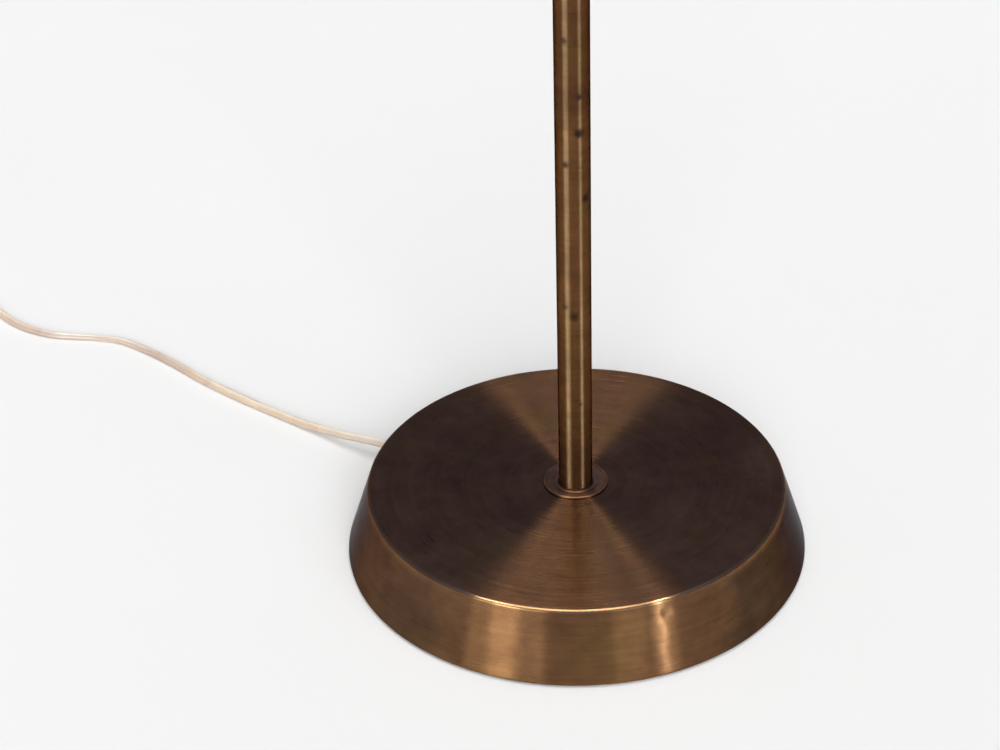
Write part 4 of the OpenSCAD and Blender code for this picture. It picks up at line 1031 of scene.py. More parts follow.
def brush(piece: Piece) -> None:
    """Writes the brushing's UV map round a finished piece's own Z axis.

    Args:
        piece: The piece.
    """
    shape = bmesh.new()
    shape.from_mesh(piece.data)
    wrap_uv(shape, Vector(ORIGIN), Along.Z)
    shape.to_mesh(piece.data)
    shape.free()


def wrap_uv(shape: bmesh.types.BMesh, at: Vector, axis: Along) -> None:
    """Writes the brushing's UV map: the turn round an axis, and the length across it.

    Args:
        shape: The mesh, in metres.
        at: A point on the axis.
        axis: The axis.
    """
    layer = shape.loops.layers.uv.get(TURN_UV) or shape.loops.layers.uv.new(TURN_UV)
    order = {Along.X: (1, 2, 0), Along.Y: (2, 0, 1), Along.Z: (0, 1, 2)}[axis]
    for face in shape.faces:
        spots = [[(loop.vert.co - at)[k] for k in order] for loop in face.loops]
        turns = [math.atan2(y, x) / math.tau for x, y, _ in spots]
        split = max(turns) - min(turns) > 0.5
        for loop, (x, y, z), turn in zip(face.loops, spots, turns):
            loop[layer].uv = (turn + 1.0 if split and turn < 0.0 else turn, math.hypot(x, y) + z)


def refined(
    name: str, node: str, body: Body, finish: Finish,
    at: Place = ORIGIN, axis: Along = Along.Z, soften: float = 0.25,
) -> None:
    """Makes a smooth copy of a CAD node with softened edges, and lets it stand for that node.

    Args:
        name: The piece's name.
        node: The CAD node.
        body: The body that carries it.
        finish: The piece's finish.
        at: A point on the axis of its brushing, in millimetres.
        axis: That axis.
        soften: Width of the softened edges in millimetres.
    """
    shape = bmesh.new()
    shape.from_mesh(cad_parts[node].data)
    for layer in list(shape.loops.layers.uv.values()):
        shape.loops.layers.uv.remove(layer)
    bmesh.ops.remove_doubles(shape, verts=shape.verts, dist=WELD)
    bmesh.ops.dissolve_degenerate(shape, edges=shape.edges, dist=SLIVER)
    bmesh.ops.dissolve_limit(shape, angle_limit=FLAT, verts=shape.verts, edges=shape.edges)
    sharp = [e for e in shape.edges if len(e.link_faces) == 2 and e.calc_face_angle(0.0) > SHARP_EDGE]
    bmesh.ops.bevel(
        shape, geom=sharp, offset=soften * MM, offset_type="OFFSET", segments=2, profile=0.6,
        affect="EDGES", clamp_overlap=True,
    )
    for face in shape.faces:
        face.smooth = True
    for edge in shape.edges:
        edge.smooth = len(edge.link_faces) != 2 or edge.calc_face_angle(0.0) < SHARP_SHADE
    bmesh.ops.triangulate(shape, faces=[face for face in shape.faces if len(face.verts) > 4])
    wrap_uv(shape, Vector(at) * MM, axis)
    finish_piece(piece_of(name, shape, finish), body, finish, node)


def skin(shape: bmesh.types.BMesh, rows: list[list[bmesh.types.BMVert]]) -> list[bmesh.types.BMFace]:
    """Covers a stack of closed rows with faces and closes its two ends.

    Args:
        shape: The mesh that holds the rows.
        rows: The rows' points, as many in each.

    Returns:
        The faces of the sides, row by row.
    """
    sides = []
    for low, high in zip(rows, rows[1:]):
        for k in range(len(low)):
            j = (k + 1) % len(low)
            sides.append(shape.faces.new((low[k], low[j], high[j], high[k])))
    shape.faces.new(list(reversed(rows[0])))
    shape.faces.new(rows[-1])
    return sides


def ahead(path: list[Vector], i: int) -> Vector:
    """Direction of a path at one of its points."""
    return (path[min(i + 1, len(path) - 1)] - path[max(i - 1, 0)]).normalized()


def swept(name: str, path: list[Vector], wides: list[Vector], section: Outline, finish: Finish) -> Piece:
    """Sweeps a closed section along a path.

    Args:
        name: The piece's name.
        path: Middle points in millimetres.
        wides: Direction of the section's first axis at each point.
        section: Points of the section in millimetres.
        finish: The piece's finish.

    Returns:
        The piece, in place, with the turn and the length in its UV map.
    """
    shape = bmesh.new()
    layer = shape.loops.layers.uv.new(CORD_UV)
    rows = []
    runs = []
    run = 0.0
    for i, point in enumerate(path):
        front = ahead(path, i)
        thin = front.cross(wides[i]).normalized()
        broad = thin.cross(front)
        rows.append([shape.verts.new((point + broad * x + thin * y) * MM) for x, y in section])
        run += (point - path[i - 1]).length * MM if i else 0.0
        runs.append(run)
    count = len(section)
    for number, face in enumerate(skin(shape, rows)):
        face.smooth = True
        i, k = divmod(number, count)
        corners = ((k, i), (k + 1, i), (k + 1, i + 1), (k, i + 1))
        for loop, (side, row) in zip(face.loops, corners):
            loop[layer].uv = (side / count, runs[row])
    bmesh.ops.recalc_face_normals(shape, faces=shape.faces)
    return piece_of(name, shape, finish)


def straight_lead(
    name: str, node: str, body: Body, ends: tuple[Place, Place], wide: Vector, steps: int,
) -> Piece:
    """Runs a round lead straight from end to end.

    Args:
        name: The piece's name.
        node: The CAD node that it replaces.
        body: The body that carries it.
        ends: Its two ends in millimetres.
        wide: A direction square to it.
        steps: Steps along it.

    Returns:
        The lead.
    """
    first, last = Vector(ends[0]), Vector(ends[1])
    path = [first + (last - first) * (i / steps) for i in range(steps + 1)]
    turns = [math.tau * k / LEAD_SIDES for k in range(LEAD_SIDES)]
    section = [(LEAD_R * math.cos(a), LEAD_R * math.sin(a)) for a in turns]
    return finish_piece(swept(name, path, [wide] * len(path), section, FLEX), body, FLEX, node)


def spline(points: list[Vector], first: Vector, last: Vector, steps: int) -> list[Vector]:
    """Runs a smooth curve through points.

    Args:
        points: The points, of any dimension.
        first: Direction at the first point.
        last: Direction at the last point.
        steps: Steps between two points.

    Returns:
        The curve's points.
    """
    q = [points[1] - first, *points, points[-2] + last]
    curve = []
    for i in range(len(points) - 1):
        a, b, c, d = q[i:i + 4]
        for k in range(steps):
            t = k / steps
            even = 2.0 * b + (c - a) * t + (2.0 * a - 5.0 * b + 4.0 * c - d) * t * t
            curve.append(0.5 * (even + (3.0 * b - a - 3.0 * c + d) * t ** 3))
    return [*curve, points[-1].copy()]


def join(name: str, pieces: list[Piece], finish: Finish) -> Piece:
    """Joins pieces of one finish into one.

    Args:
        name: The result's name.
        pieces: The pieces, which are used up.
        finish: Their finish.

    Returns:
        The joined piece.
    """
    shape = bmesh.new()
    for piece in pieces:
        spare = piece.data
        shape.from_mesh(spare)
        bpy.data.objects.remove(piece)
        bpy.data.meshes.remove(spare)
    return piece_of(name, shape, finish)


def finish_piece(piece: Piece, body: Body, finish: Finish, *nodes: str) -> Piece:
    """Lets a piece ride on its body and stand for its CAD nodes.

    Args:
        piece: The piece, in place.
        body: The body that carries it.
        finish: Not used.
        nodes: The CAD nodes that it replaces.

    Returns:
        The piece.
    """
    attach(piece, body.value)
    if nodes:
        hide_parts(*nodes)
    LOG.info("%s: %d faces on %s", piece.name, len(piece.data.polygons), body.value)
    return piece


def set_down(piece: Piece, matrix: Matrix) -> Piece:
    """Moves a piece's mesh to its place, and leaves its object at the origin."""
    piece.data.transform(matrix)
    return piece


def dress_nodes(finish: Finish, *nodes: str) -> None:
    """Gives CAD nodes that keep their shape a finish.

    Args:
        finish: The finish.
        nodes: The nodes' names.
    """
    for node in nodes:
        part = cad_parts[node]
        if not part.data.materials:
            part.data.materials.append(finish.material())
        for place in part.material_slots:
            place.material = finish.material()
        LOG.info("%s: %s", node, finish.name)


# Studio

COOL = (0.66, 0.98, 1.45)
FAR = 5.0


def toward(azimuth: float, elevation: float) -> Vector:
    """Direction to a place in the studio; azimuth 0 is toward -Y and 90 toward +X."""
    turn, rise = math.radians(azimuth), math.radians(elevation)
    return Vector((math.sin(turn) * math.cos(rise), -math.cos(turn) * math.cos(rise), math.sin(rise)))


def hang(data: bpy.types.Light, place: Vector, look: Vector) -> bpy.types.Object:
    """Hangs a lamp in the studio.

    Args:
        data: The lamp.
        place: Where it hangs, in metres.
        look: Where it faces.

    Returns:
        The lamp's object.
    """
    lamp = bpy.data.objects.new(data.name, data)
    lamp.matrix_world = Matrix.Translation(place) @ look.to_track_quat("-Z", "Y").to_matrix().to_4x4()
    bpy.context.scene.collection.objects.link(lamp)
    return lamp


class ShowsIn(Enum):
    """Where a linked lamp shows: in one piece alone, or in all the others."""

    PIECE = "INCLUDE"
    OTHERS = "EXCLUDE"


def show(lamp: bpy.types.Object, piece: Piece, shows_in: ShowsIn) -> None:
    """Links a lamp to a piece.

    Args:
        lamp: The lamp.
        piece: The piece.
        shows_in: Whether the lamp shows in that piece alone, or in all the others.
    """
    target = bpy.data.collections.new(f"{lamp.name}_target")
    target.objects.link(piece)
    target.collection_objects[0].light_linking.link_state = shows_in.value
    lamp.light_linking.receiver_collection = target


@dataclass
class Softbox:
    """A standing softbox, in metres and degrees, that shows in the metal and leaves the floor as it is."""

    name: str
    azimuth: float
    wide: float
    radiance: float
    distance: float = 1.9
    height: float = 0.42
    tall: float = 0.8
    colour: Colour = (0.95, 1.05, 0.95)
    shows_in: ShowsIn = ShowsIn.OTHERS
    spread: float = 179.9

    def build(self, pole: Piece) -> None:
        """Adds the lamp.

        Args:
            pole: The pole, which shows it alone or is the one piece that does not.
        """
        data = bpy.data.lights.new(self.name, "AREA")
        data.color = self.colour
        data.shape = "RECTANGLE"
        data.size = self.wide
        data.size_y = self.tall
        half = math.radians(self.spread) / 2.0
        data.spread = 2.0 * half
        data.energy = self.radiance * math.pi * self.wide * self.tall * (1.0 - half / math.tan(half))
        away = toward(self.azimuth, 0.0) * self.distance
        lamp = hang(data, away + UP * self.height, -away)
        lamp.visible_camera = False
        lamp.visible_diffuse = False
        show(lamp, pole, self.shows_in)


class Role(Enum):
    """What a far lamp is for."""

    LIGHT = "light"
    REFLECTION = "reflection"
    BASE_REFLECTION = "base reflection"


@dataclass
class FarLamp:
    """A far round lamp of an angle in degrees, for light on the floor or a reflection in the metal."""

    name: str
    role: Role
    azimuth: float
    elevation: float
    angle: float
    strength: float

    def build(self, base: Piece) -> None:
        """Adds the lamp.

        Args:
            base: The base's shell, which has reflections of its own that nothing above it shadows.
        """
        data = bpy.data.lights.new(self.name, "SUN")
        data.energy = self.strength
        data.angle = math.radians(self.angle)
        away = toward(self.azimuth, self.elevation)
        lamp = hang(data, away * FAR, -away)
        if self.role is Role.LIGHT:
            lamp.visible_glossy = False
            return
        lamp.visible_diffuse = False
        if self.role is Role.BASE_REFLECTION:
            data.use_shadow = False
            show(lamp, base, ShowsIn.PIECE)


@dataclass
class Studio:
    """Camera in millimetres, degrees and pixels, a pale floor in metres, and soft light."""

    focal_px: float = 2440.272
    image_px: float = 1000.0
    elevation: float = 33.026
    roll: float = -1.666
    right: float = -41.861
    up: float = 90.608
    distance: float = 1340.553
    floor_half: float = 40.0
    floor_colour: Colour = (0.913, 0.913, 0.913)
    world_dim: Colour = (0.205, 0.245, 0.460)
    world_pale: Colour = (0.80, 0.82, 0.88)
    world_fill: Colour = (0.13, 0.13, 0.13)
    softboxes: tuple[Softbox, ...] = (
        Softbox("softbox_left", -35.5, 0.42, 6.2),
        Softbox("softbox_left_halo", -34.5, 1.20, 2.8),
        Softbox("softbox_right", 37.2, 0.03, 46.0, colour=(0.88, 1.03, 1.18)),
        Softbox("softbox_right_halo", 38.4, 0.34, 2.2),
        Softbox("softbox_middle", 22.0, 0.5, 1.25),
        Softbox("pole_box_left", -43.0, 0.32, 6.4, 0.6, 0.20, 0.38, COOL, ShowsIn.PIECE),
        Softbox("pole_box_right", 44.0, 0.17, 6.4, 0.6, 0.20, 0.38, COOL, ShowsIn.PIECE),
        Softbox("foot_box_left", -44.0, 0.32, 26.0, 0.6, 0.075, 0.10, COOL, ShowsIn.PIECE, 24.0),
        Softbox("foot_box_right", 43.0, 0.17, 22.0, 0.6, 0.075, 0.10, COOL, ShowsIn.PIECE, 24.0),
    )
    lamps: tuple[FarLamp, ...] = (
        FarLamp("key_top", Role.LIGHT, 0.0, 88.0, 60.0, 1.47),
        FarLamp("key_front", Role.LIGHT, 4.0, 28.0, 38.0, 2.34),
        FarLamp("key_right", Role.LIGHT, 52.0, 42.0, 26.0, 0.33),
        FarLamp("overhead", Role.REFLECTION, 0.0, 90.0, 40.0, 2.30),
        FarLamp("overhead_left", Role.BASE_REFLECTION, -90.0, 69.0, 10.0, 0.60),
        FarLamp("overhead_line", Role.BASE_REFLECTION, 90.0, 69.7, 1.0, 0.58),
    )

    def build(self, base: Piece, pole: Piece) -> None:
        """Sets up the camera, the floor, the lamps and the world.

        Args:
            base: The base's shell, which has reflections of its own.
            pole: The pole, which has softboxes of its own.
        """
        bpy.context.scene.view_settings.view_transform = "Standard"
        self.set_camera()
        self.lay_floor()
        for softbox in self.softboxes:
            softbox.build(pole)
        for lamp in self.lamps:
            lamp.build(base)
        self.light_world()

    def set_camera(self) -> None:
        """Places the camera at the photograph's viewing angle."""
        tilt, roll = math.radians(self.elevation), math.radians(self.roll)
        back = Vector((0.0, -math.cos(tilt), math.sin(tilt)))
        upright = back.cross(EAST)
        side = math.cos(roll) * EAST + math.sin(roll) * upright
        top = math.cos(roll) * upright - math.sin(roll) * EAST
        place = (back * self.distance + side * self.right + top * self.up) * MM
        data = bpy.data.cameras.new("camera")
        data.sensor_fit = "HORIZONTAL"
        data.sensor_width = 36.0
        data.lens = self.focal_px / self.image_px * data.sensor_width
        data.clip_start = 0.02
        data.clip_end = 200.0
        camera = bpy.data.objects.new("camera", data)
        camera.matrix_world = Matrix.Translation(place) @ Matrix((side, top, back)).transposed().to_4x4()
        bpy.context.scene.collection.objects.link(camera)
        bpy.context.scene.camera = camera

    def lay_floor(self) -> None:
        """Lays the pale floor."""
        h = self.floor_half
        mesh = bpy.data.meshes.new("floor")
        mesh.from_pydata([(-h, -h, 0.0), (h, -h, 0.0), (h, h, 0.0), (-h, h, 0.0)], [], [(0, 1, 2, 3)])
        paint = bpy.data.materials.new("pale_floor")
        paint.use_nodes = True
        shader = paint.node_tree.nodes["Principled BSDF"]
        NodePad(paint.node_tree).set(shader, base_color=self.floor_colour, roughness=0.9)
        shader.inputs["Specular IOR Level"].default_value = 0.0
        mesh.materials.append(paint)
        new_piece("floor", mesh)

    def light_world(self) -> None:
        """Gives the metal dim walls over a pale horizon, and everything else an even light."""
        world = bpy.data.worlds.new("studio")
        world.use_nodes = True
        bpy.context.scene.world = world
        pad = NodePad(world.node_tree)
        height = pad.split(pad.add("ShaderNodeTexCoord").outputs["Generated"])[2]
        walls = pad.ramp(height, [(0.02, self.world_pale), (0.16, self.world_dim)])
        ray = pad.add("ShaderNodeLightPath").outputs
        seen = pad.math("MAXIMUM", ray["Is Glossy Ray"], ray["Is Transmission Ray"])
        seen = pad.math("MAXIMUM", seen, ray["Is Camera Ray"])
        pad.set(world.node_tree.nodes["Background"], color=pad.mix(seen, self.world_fill, walls))


# Cord


@dataclass
class MainsCord:
    """Flat clear cord, in millimetres, from the base to its coil, with its bush, strap and plug."""

    width: float = 4.8
    thick: float = 2.4
    web: float = 0.62
    exit_az: float = 142.0
    gland_z: float = 10.5
    gland_l: float = 11.0
    gland_d: float = 9.0
    gland_tip_d: float = 7.6
    gland_shell_r: float = 121.71875
    gland_in_r: float = 115.46
    coil_at: tuple[float, float] = (-418.0, 265.0)
    coil_r: float = 40.5
    coil_pitch: float = 4.4
    coil_turns: int = 8
    coil_steps: int = 48
    coil_z: float = 3.4
    coil_layer: float = 5.4
    coil_climb: float = 0.26
    coil_in_az: float = 39.0
    coil_out_az: float = 90.0
    tail_sag: float = 0.6
    tie_az: float = 215.0
    tie_w: float = 8.0
    tie_t: float = 0.8
    tie_bend: float = 1.6
    tie_gap: float = 0.1
    tie_slack: float = 0.3
    tie_edge: float = 0.3
    plug_x: float = -470.0
    plug_boot: float = 24.0
    plug_l: float = 36.0
    plug_w: float = 35.0
    plug_t: float = 13.6
    plug_corner: float = 4.0
    plug_waist: float = 0.55
    grip_ribs: int = 5
    grip_r: float = 0.6
    grip_l: float = 17.0
    grip_pitch: float = 3.4
    grip_in: float = 12.0
    pin_l: float = 19.0
    pin_r: float = 2.0
    pin_pitch: float = 18.6
    pin_bare: float = 9.8
    # Places along the floor, each with the cord's roll in degrees.
    route: tuple[tuple[float, float, float, float], ...] = (
        (-122, 92, 9, 50), (-132, 99, 7, 50), (-142, 107, 5, 50), (-152, 114.5, 3.4, 50),
        (-163, 123, 2.5, 50), (-180, 136, 2.3, 50), (-200, 152, 2.3, 50), (-220, 169.5, 2.3, 48),
        (-240, 189.5, 2.2, 42), (-258, 205.5, 2, 32), (-274, 217, 1.7, 18), (-290, 222, 1.5, 5),
        (-306, 224.5, 1.5, 5), (-320, 227.5, 1.7, 15), (-334, 234, 2, 35), (-346, 243, 2.3, 50),
        (-356, 254, 2.7, 65), (-368, 268, 3.1, 80),
    )

    @property
    def out(self) -> Vector:
        """Direction in which the cord leaves the base."""
        turn = math.radians(self.exit_az)
        return Vector((math.cos(turn), math.sin(turn), 0.0))

    @property
    def turns(self) -> float:
        """Number of the coil's turns."""
        return self.coil_turns + (self.coil_out_az - self.coil_in_az) / 360.0

    @property
    def plug_y(self) -> float:
        """The plug's place across the floor, in line with the coil's end."""
        return self.coil_point(self.turns).y

    @property
    def plug_face(self) -> float:
        """Where the plug's face is, along X."""
        return self.plug_x - self.plug_boot - self.plug_l

    def heading(self, azimuth: float) -> Vector:
        """Direction of the coil's turn at an azimuth."""
        turn = math.radians(azimuth)
        return Vector((-math.sin(turn), math.cos(turn), 0.0))

    def coil_point(self, turn: float) -> Vector:
        """Gives the cord's middle in the coil.

        Args:
            turn: Turns from the coil's first end.

        Returns:
            The point in millimetres.
        """
        angle = math.radians(self.coil_in_az + 360.0 * turn)
        r = self.coil_r - self.coil_pitch * min(turn, self.turns - turn)
        s = limited((turn - self.turns / 2.0) / self.coil_climb + 0.5)
        z = self.coil_z + self.coil_layer * s * s * (3.0 - 2.0 * s)
        return Vector((self.coil_at[0] + r * math.cos(angle), self.coil_at[1] + r * math.sin(angle), z))

    def section(self) -> Outline:
        """Outline of the two cores and the web between them.

        Returns:
            Points in millimetres, across the cord and square to it.
        """
        r = self.thick / 2.0
        right = arc(self.width / 2.0 - r, 0.0, r, -126.0, 126.0, 12)
        left = [(-x, -y) for x, y in right]
        return [*right, (0.0, self.web * r), *left, (0.0, -self.web * r)]

    def path(self) -> tuple[list[Vector], list[Vector]]:
        """Runs the cord from the bush along the floor through the coil to the plug.

        Returns:
            Middle points in millimetres, and the direction of the cord's width at each.
        """
        into, away = self.heading(self.coil_in_az), self.heading(self.coil_out_az)
        start = self.out * (self.gland_shell_r + self.gland_l) + UP * self.gland_z
        coil_start = self.coil_point(0.0) - into * self.width
        coil_end = self.coil_point(self.turns) + away * self.width
        route = [(*start, self.route[0][3]), *self.route, (*coil_start, 90.0)]
        first, last = [Vector((*(PULL * way), 0.0)) for way in (self.out, into)]
        run = spline([Vector(p) for p in route], first, last, 6)
        points = [p.to_3d() for p in run]
        wides = []
        for i, p in enumerate(run):
            front = ahead(points, i)
            side = front.cross(UP).normalized()
            roll = math.radians(p[3])
            wides.append(side * math.cos(roll) + side.cross(front) * math.sin(roll))
        steps = round(self.turns * self.coil_steps)
        coil = [self.coil_point(self.turns * i / steps) for i in range(steps + 1)]
        plug = Vector((self.plug_x, coil_end.y, self.plug_t / 2.0))
        sag = (coil_end + plug) / 2.0 - UP * self.tail_sag
        rest = [*coil, *spline([coil_end, sag, plug], PULL * away, PULL * away, 8)]
        return points + rest, wides + [UP] * len(rest)

    def build(self) -> None:
        """Makes the cord and what is on it."""
        plug = self.build_plug()
        boot = self.build_boot()
        pins = self.build_pins()
        tie = self.build_tie()
        self.build_bush()
        points, wides = self.path()
        cord = swept("flat_cord", points, wides, self.section(), FLEX)
        finish_piece(cord, Body.STAND, FLEX, "cord_run", "cord_coil", "cord_tail")

    def build_bush(self) -> None:
        """Makes the tapered bush with its soft rings."""
        tip = self.gland_l
        bore = self.width / 2.0 + 0.15
        wide, slim = self.gland_d / 2.0, self.gland_tip_d / 2.0
        outline = [(bore, -6.2), (wide + 1.0, -6.2), (wide + 1.0, -4.4), (wide, -4.2), (wide, 0.4)]
        outline += [(wide + 0.55, 0.7), (wide + 0.6, 1.9), (wide + 0.2, 2.3)]
        for z in (3.2, 6.3):
            r = wide - (wide - slim) * z / tip
            outline += [(r, z), (r - 0.65, z + 0.35), (r - 0.65, z + 1.05), (r - 0.1, z + 1.4)]
        outline += [(slim, tip - 0.7), (slim - 0.5, tip), (bore, tip)]
        bush = turned("cord_bush", outline, BUSH, 48)
        place = Matrix.Translation(Vector((self.gland_shell_r, 0.0, self.gland_z)) * MM)
        turn = Matrix.Rotation(math.radians(self.exit_az), 4, "Z")
        set_down(bush, turn @ place @ Matrix.Rotation(math.pi / 2.0, 4, "Y"))
        finish_piece(bush, Body.STAND, BUSH, "cord_gland")

    def build_tie(self) -> Piece:
        """Makes the strap round the coil, with its lapped end.

        Returns:
            The strap.
        """
        w, t, r, edge = self.tie_w / 2.0, self.tie_t / 2.0, self.tie_bend, self.tie_edge
        slack = self.thick / 2.0 + self.tie_slack + t
        low_r = self.coil_r - self.coil_pitch * self.turns / 2.0 - slack
        high_r = self.coil_r + slack
        low_z = self.tie_gap + t
        high_z = self.coil_z + self.coil_layer + self.width / 2.0 + self.tie_gap + t
        loop = arc(high_r - r, high_z - r, r, 90.0, 0.0, 5) + arc(high_r - r, low_z + r, r, 0.0, -90.0, 5)
        loop += arc(low_r + r, low_z + r, r, -90.0, -180.0, 5) + arc(low_r + r, high_z - r, r, 180.0, 90.0, 5)
        start = (low_r + 7.0, high_z)
        lap = [(low_r + 5.0, high_z), (low_r + 8.0, high_z + 0.15)]
        lap += [(low_r + 10.0, high_z + self.tie_t), (high_r - 3.0, high_z + self.tie_t)]
        turn = Matrix.Rotation(math.radians(self.tie_az), 3, "Z")
        at = Vector((*self.coil_at, 0.0))
        line = [start, *stretch(start, loop[0], 4), *loop, *lap]
        path = [at + turn @ Vector((x, 0.0, z)) for x, z in line]
        right = [(w, -t * 0.5), (w, t * 0.5), (w - edge, t)]
        left = [(-w + edge, t), (-w, t * 0.5), (-w, -t * 0.5), (-w + edge, -t)]
        section = [*right, *left, (w - edge, -t)]
        strap = swept("cord_strap", path, [turn @ NORTH] * len(path), section, STRAP)
        layer = strap.data.uv_layers[CORD_UV].data
        for corner, spot in zip(strap.data.loops, layer):
            p = turn.inverted() @ (strap.data.vertices[corner.vertex_index].co - at * MM)
            spot.uv = (p.y, spot.uv[1])
        return finish_piece(strap, Body.STAND, STRAP, "cord_tie")

    def build_plug(self) -> Piece:
        """Makes the plug's moulded body with its grip ribs.

        Returns:
            The body.
        """
        back = self.plug_x - self.plug_boot
        half = self.plug_w / 2.0
        corner = self.plug_corner
        narrow = self.gland_d / 2.0 + corner
        waist = back - self.plug_l * self.plug_waist
        side = arc(back - corner, narrow - corner, corner, 0.0, 62.0, 6)
        side += [(back - corner - 5.0, narrow + 2.6), (waist + 4.0, half - 2.0)]
        side += [(waist + 1.0, half - 0.6), (waist - 2.0, half)]
        side += arc(self.plug_face + corner, half - corner, corner, 90.0, 180.0, 6)
        loop = [Vector((x, y, 0.0)) for x, y in side] + [Vector((x, -y, 0.0)) for x, y in reversed(side)]
        inward = [UP.cross(loop[(i + 1) % len(loop)] - loop[i - 1]).normalized() for i in range(len(loop))]
        levels = [(0.0, 2.2), (0.35, 1.1), (1.2, 0.4), (3.0, 0.0), (self.plug_t / 2.0, -0.02)]
        levels += [(self.plug_t - z, inset) for z, inset in reversed(levels[:-1])]
        shape = bmesh.new()
        rows = []
        for z, inset in levels:
            middle = Vector((0.0, self.plug_y, z))
            rows.append([shape.verts.new((middle + p + n * inset) * MM) for p, n in zip(loop, inward)])
        skin(shape, rows)
        bmesh.ops.recalc_face_normals(shape, faces=shape.faces)
        for face in shape.faces:
            face.smooth = True
        plug = piece_of("plug_moulding", shape, PLUG)
        row = waist - self.grip_in
        first, second = [Vector((row, self.plug_y, z)) * MM for z in (self.plug_t - 0.25, 0.65)]
        GRIP.apply(
            plug, PLUG, count=self.grip_ribs, pitch=self.grip_pitch * MM, radius=self.grip_r * MM,
            length=self.grip_l * MM, first=first, second=second,
        )
        return finish_piece(plug, Body.STAND, PLUG, "plug_body")

    def build_boot(self) -> Piece:
        """Makes the ringed sleeve at the plug's back.

        Returns:
            The sleeve.
        """
        bore = self.width / 2.0 + 0.05
        length = self.plug_boot
        tip = self.gland_tip_d / 2.0
        wide = self.gland_d / 2.0 + 0.5
        outline = [(bore, -0.2), (tip - 0.5, -0.2), (tip, 0.5)]
        for i in range(6):
            z = 2.0 + i * 3.3
            r = tip + (wide - tip) * z / length
            outline += [(r, z), (r - 0.7, z + 0.4), (r - 0.7, z + 1.3), (r - 0.05, z + 1.7)]
        outline += [(wide, length - 1.0), (wide + 0.5, length + 1.0), (bore, length + 1.0)]
        boot = turned("plug_sleeve", outline, PLUG, 40)
        set_down(boot, placed(Along.X, (self.plug_x, self.plug_y, self.plug_t / 2.0)))
        return finish_piece(boot, Body.STAND, PLUG)

    def build_pins(self) -> Piece:
        """Makes the plug's two pins with their sleeves.

        Returns:
            Both pins as one piece.
        """
        r = self.pin_r
        outline = [(0.0, -2.0), (r - 0.1, -2.0), (r - 0.1, 9.6), (r - 0.14, 9.9), (r - 0.02, 10.0), (r, 10.2)]
        outline += arc(0.0, self.pin_l, r, 0.0, 90.0, 8)
        pins = []
        for side in (-1.0, 1.0):
            pin = turned("plug_pin", outline, NICKEL, 40)
            y = self.plug_y + side * self.pin_pitch / 2.0
            pins.append(set_down(pin, placed(Along.X, (self.plug_face, y, self.plug_t / 2.0))))
        both = join("plug_pin_pair", pins, NICKEL)
        both.data.materials.append(BAKELITE.material())
        for polygon in both.data.polygons:
            polygon.material_index = int(polygon.center.x > (self.plug_face - self.pin_bare) * MM)
        return finish_piece(both, Body.STAND, NICKEL, "plug_pins")


# Base


@dataclass(frozen=True)
class Dent:
    """A dent in the shell's side: direction in degrees, height, radius and depth in millimetres."""

    azimuth: float
    z: float
    r: float
    depth: float


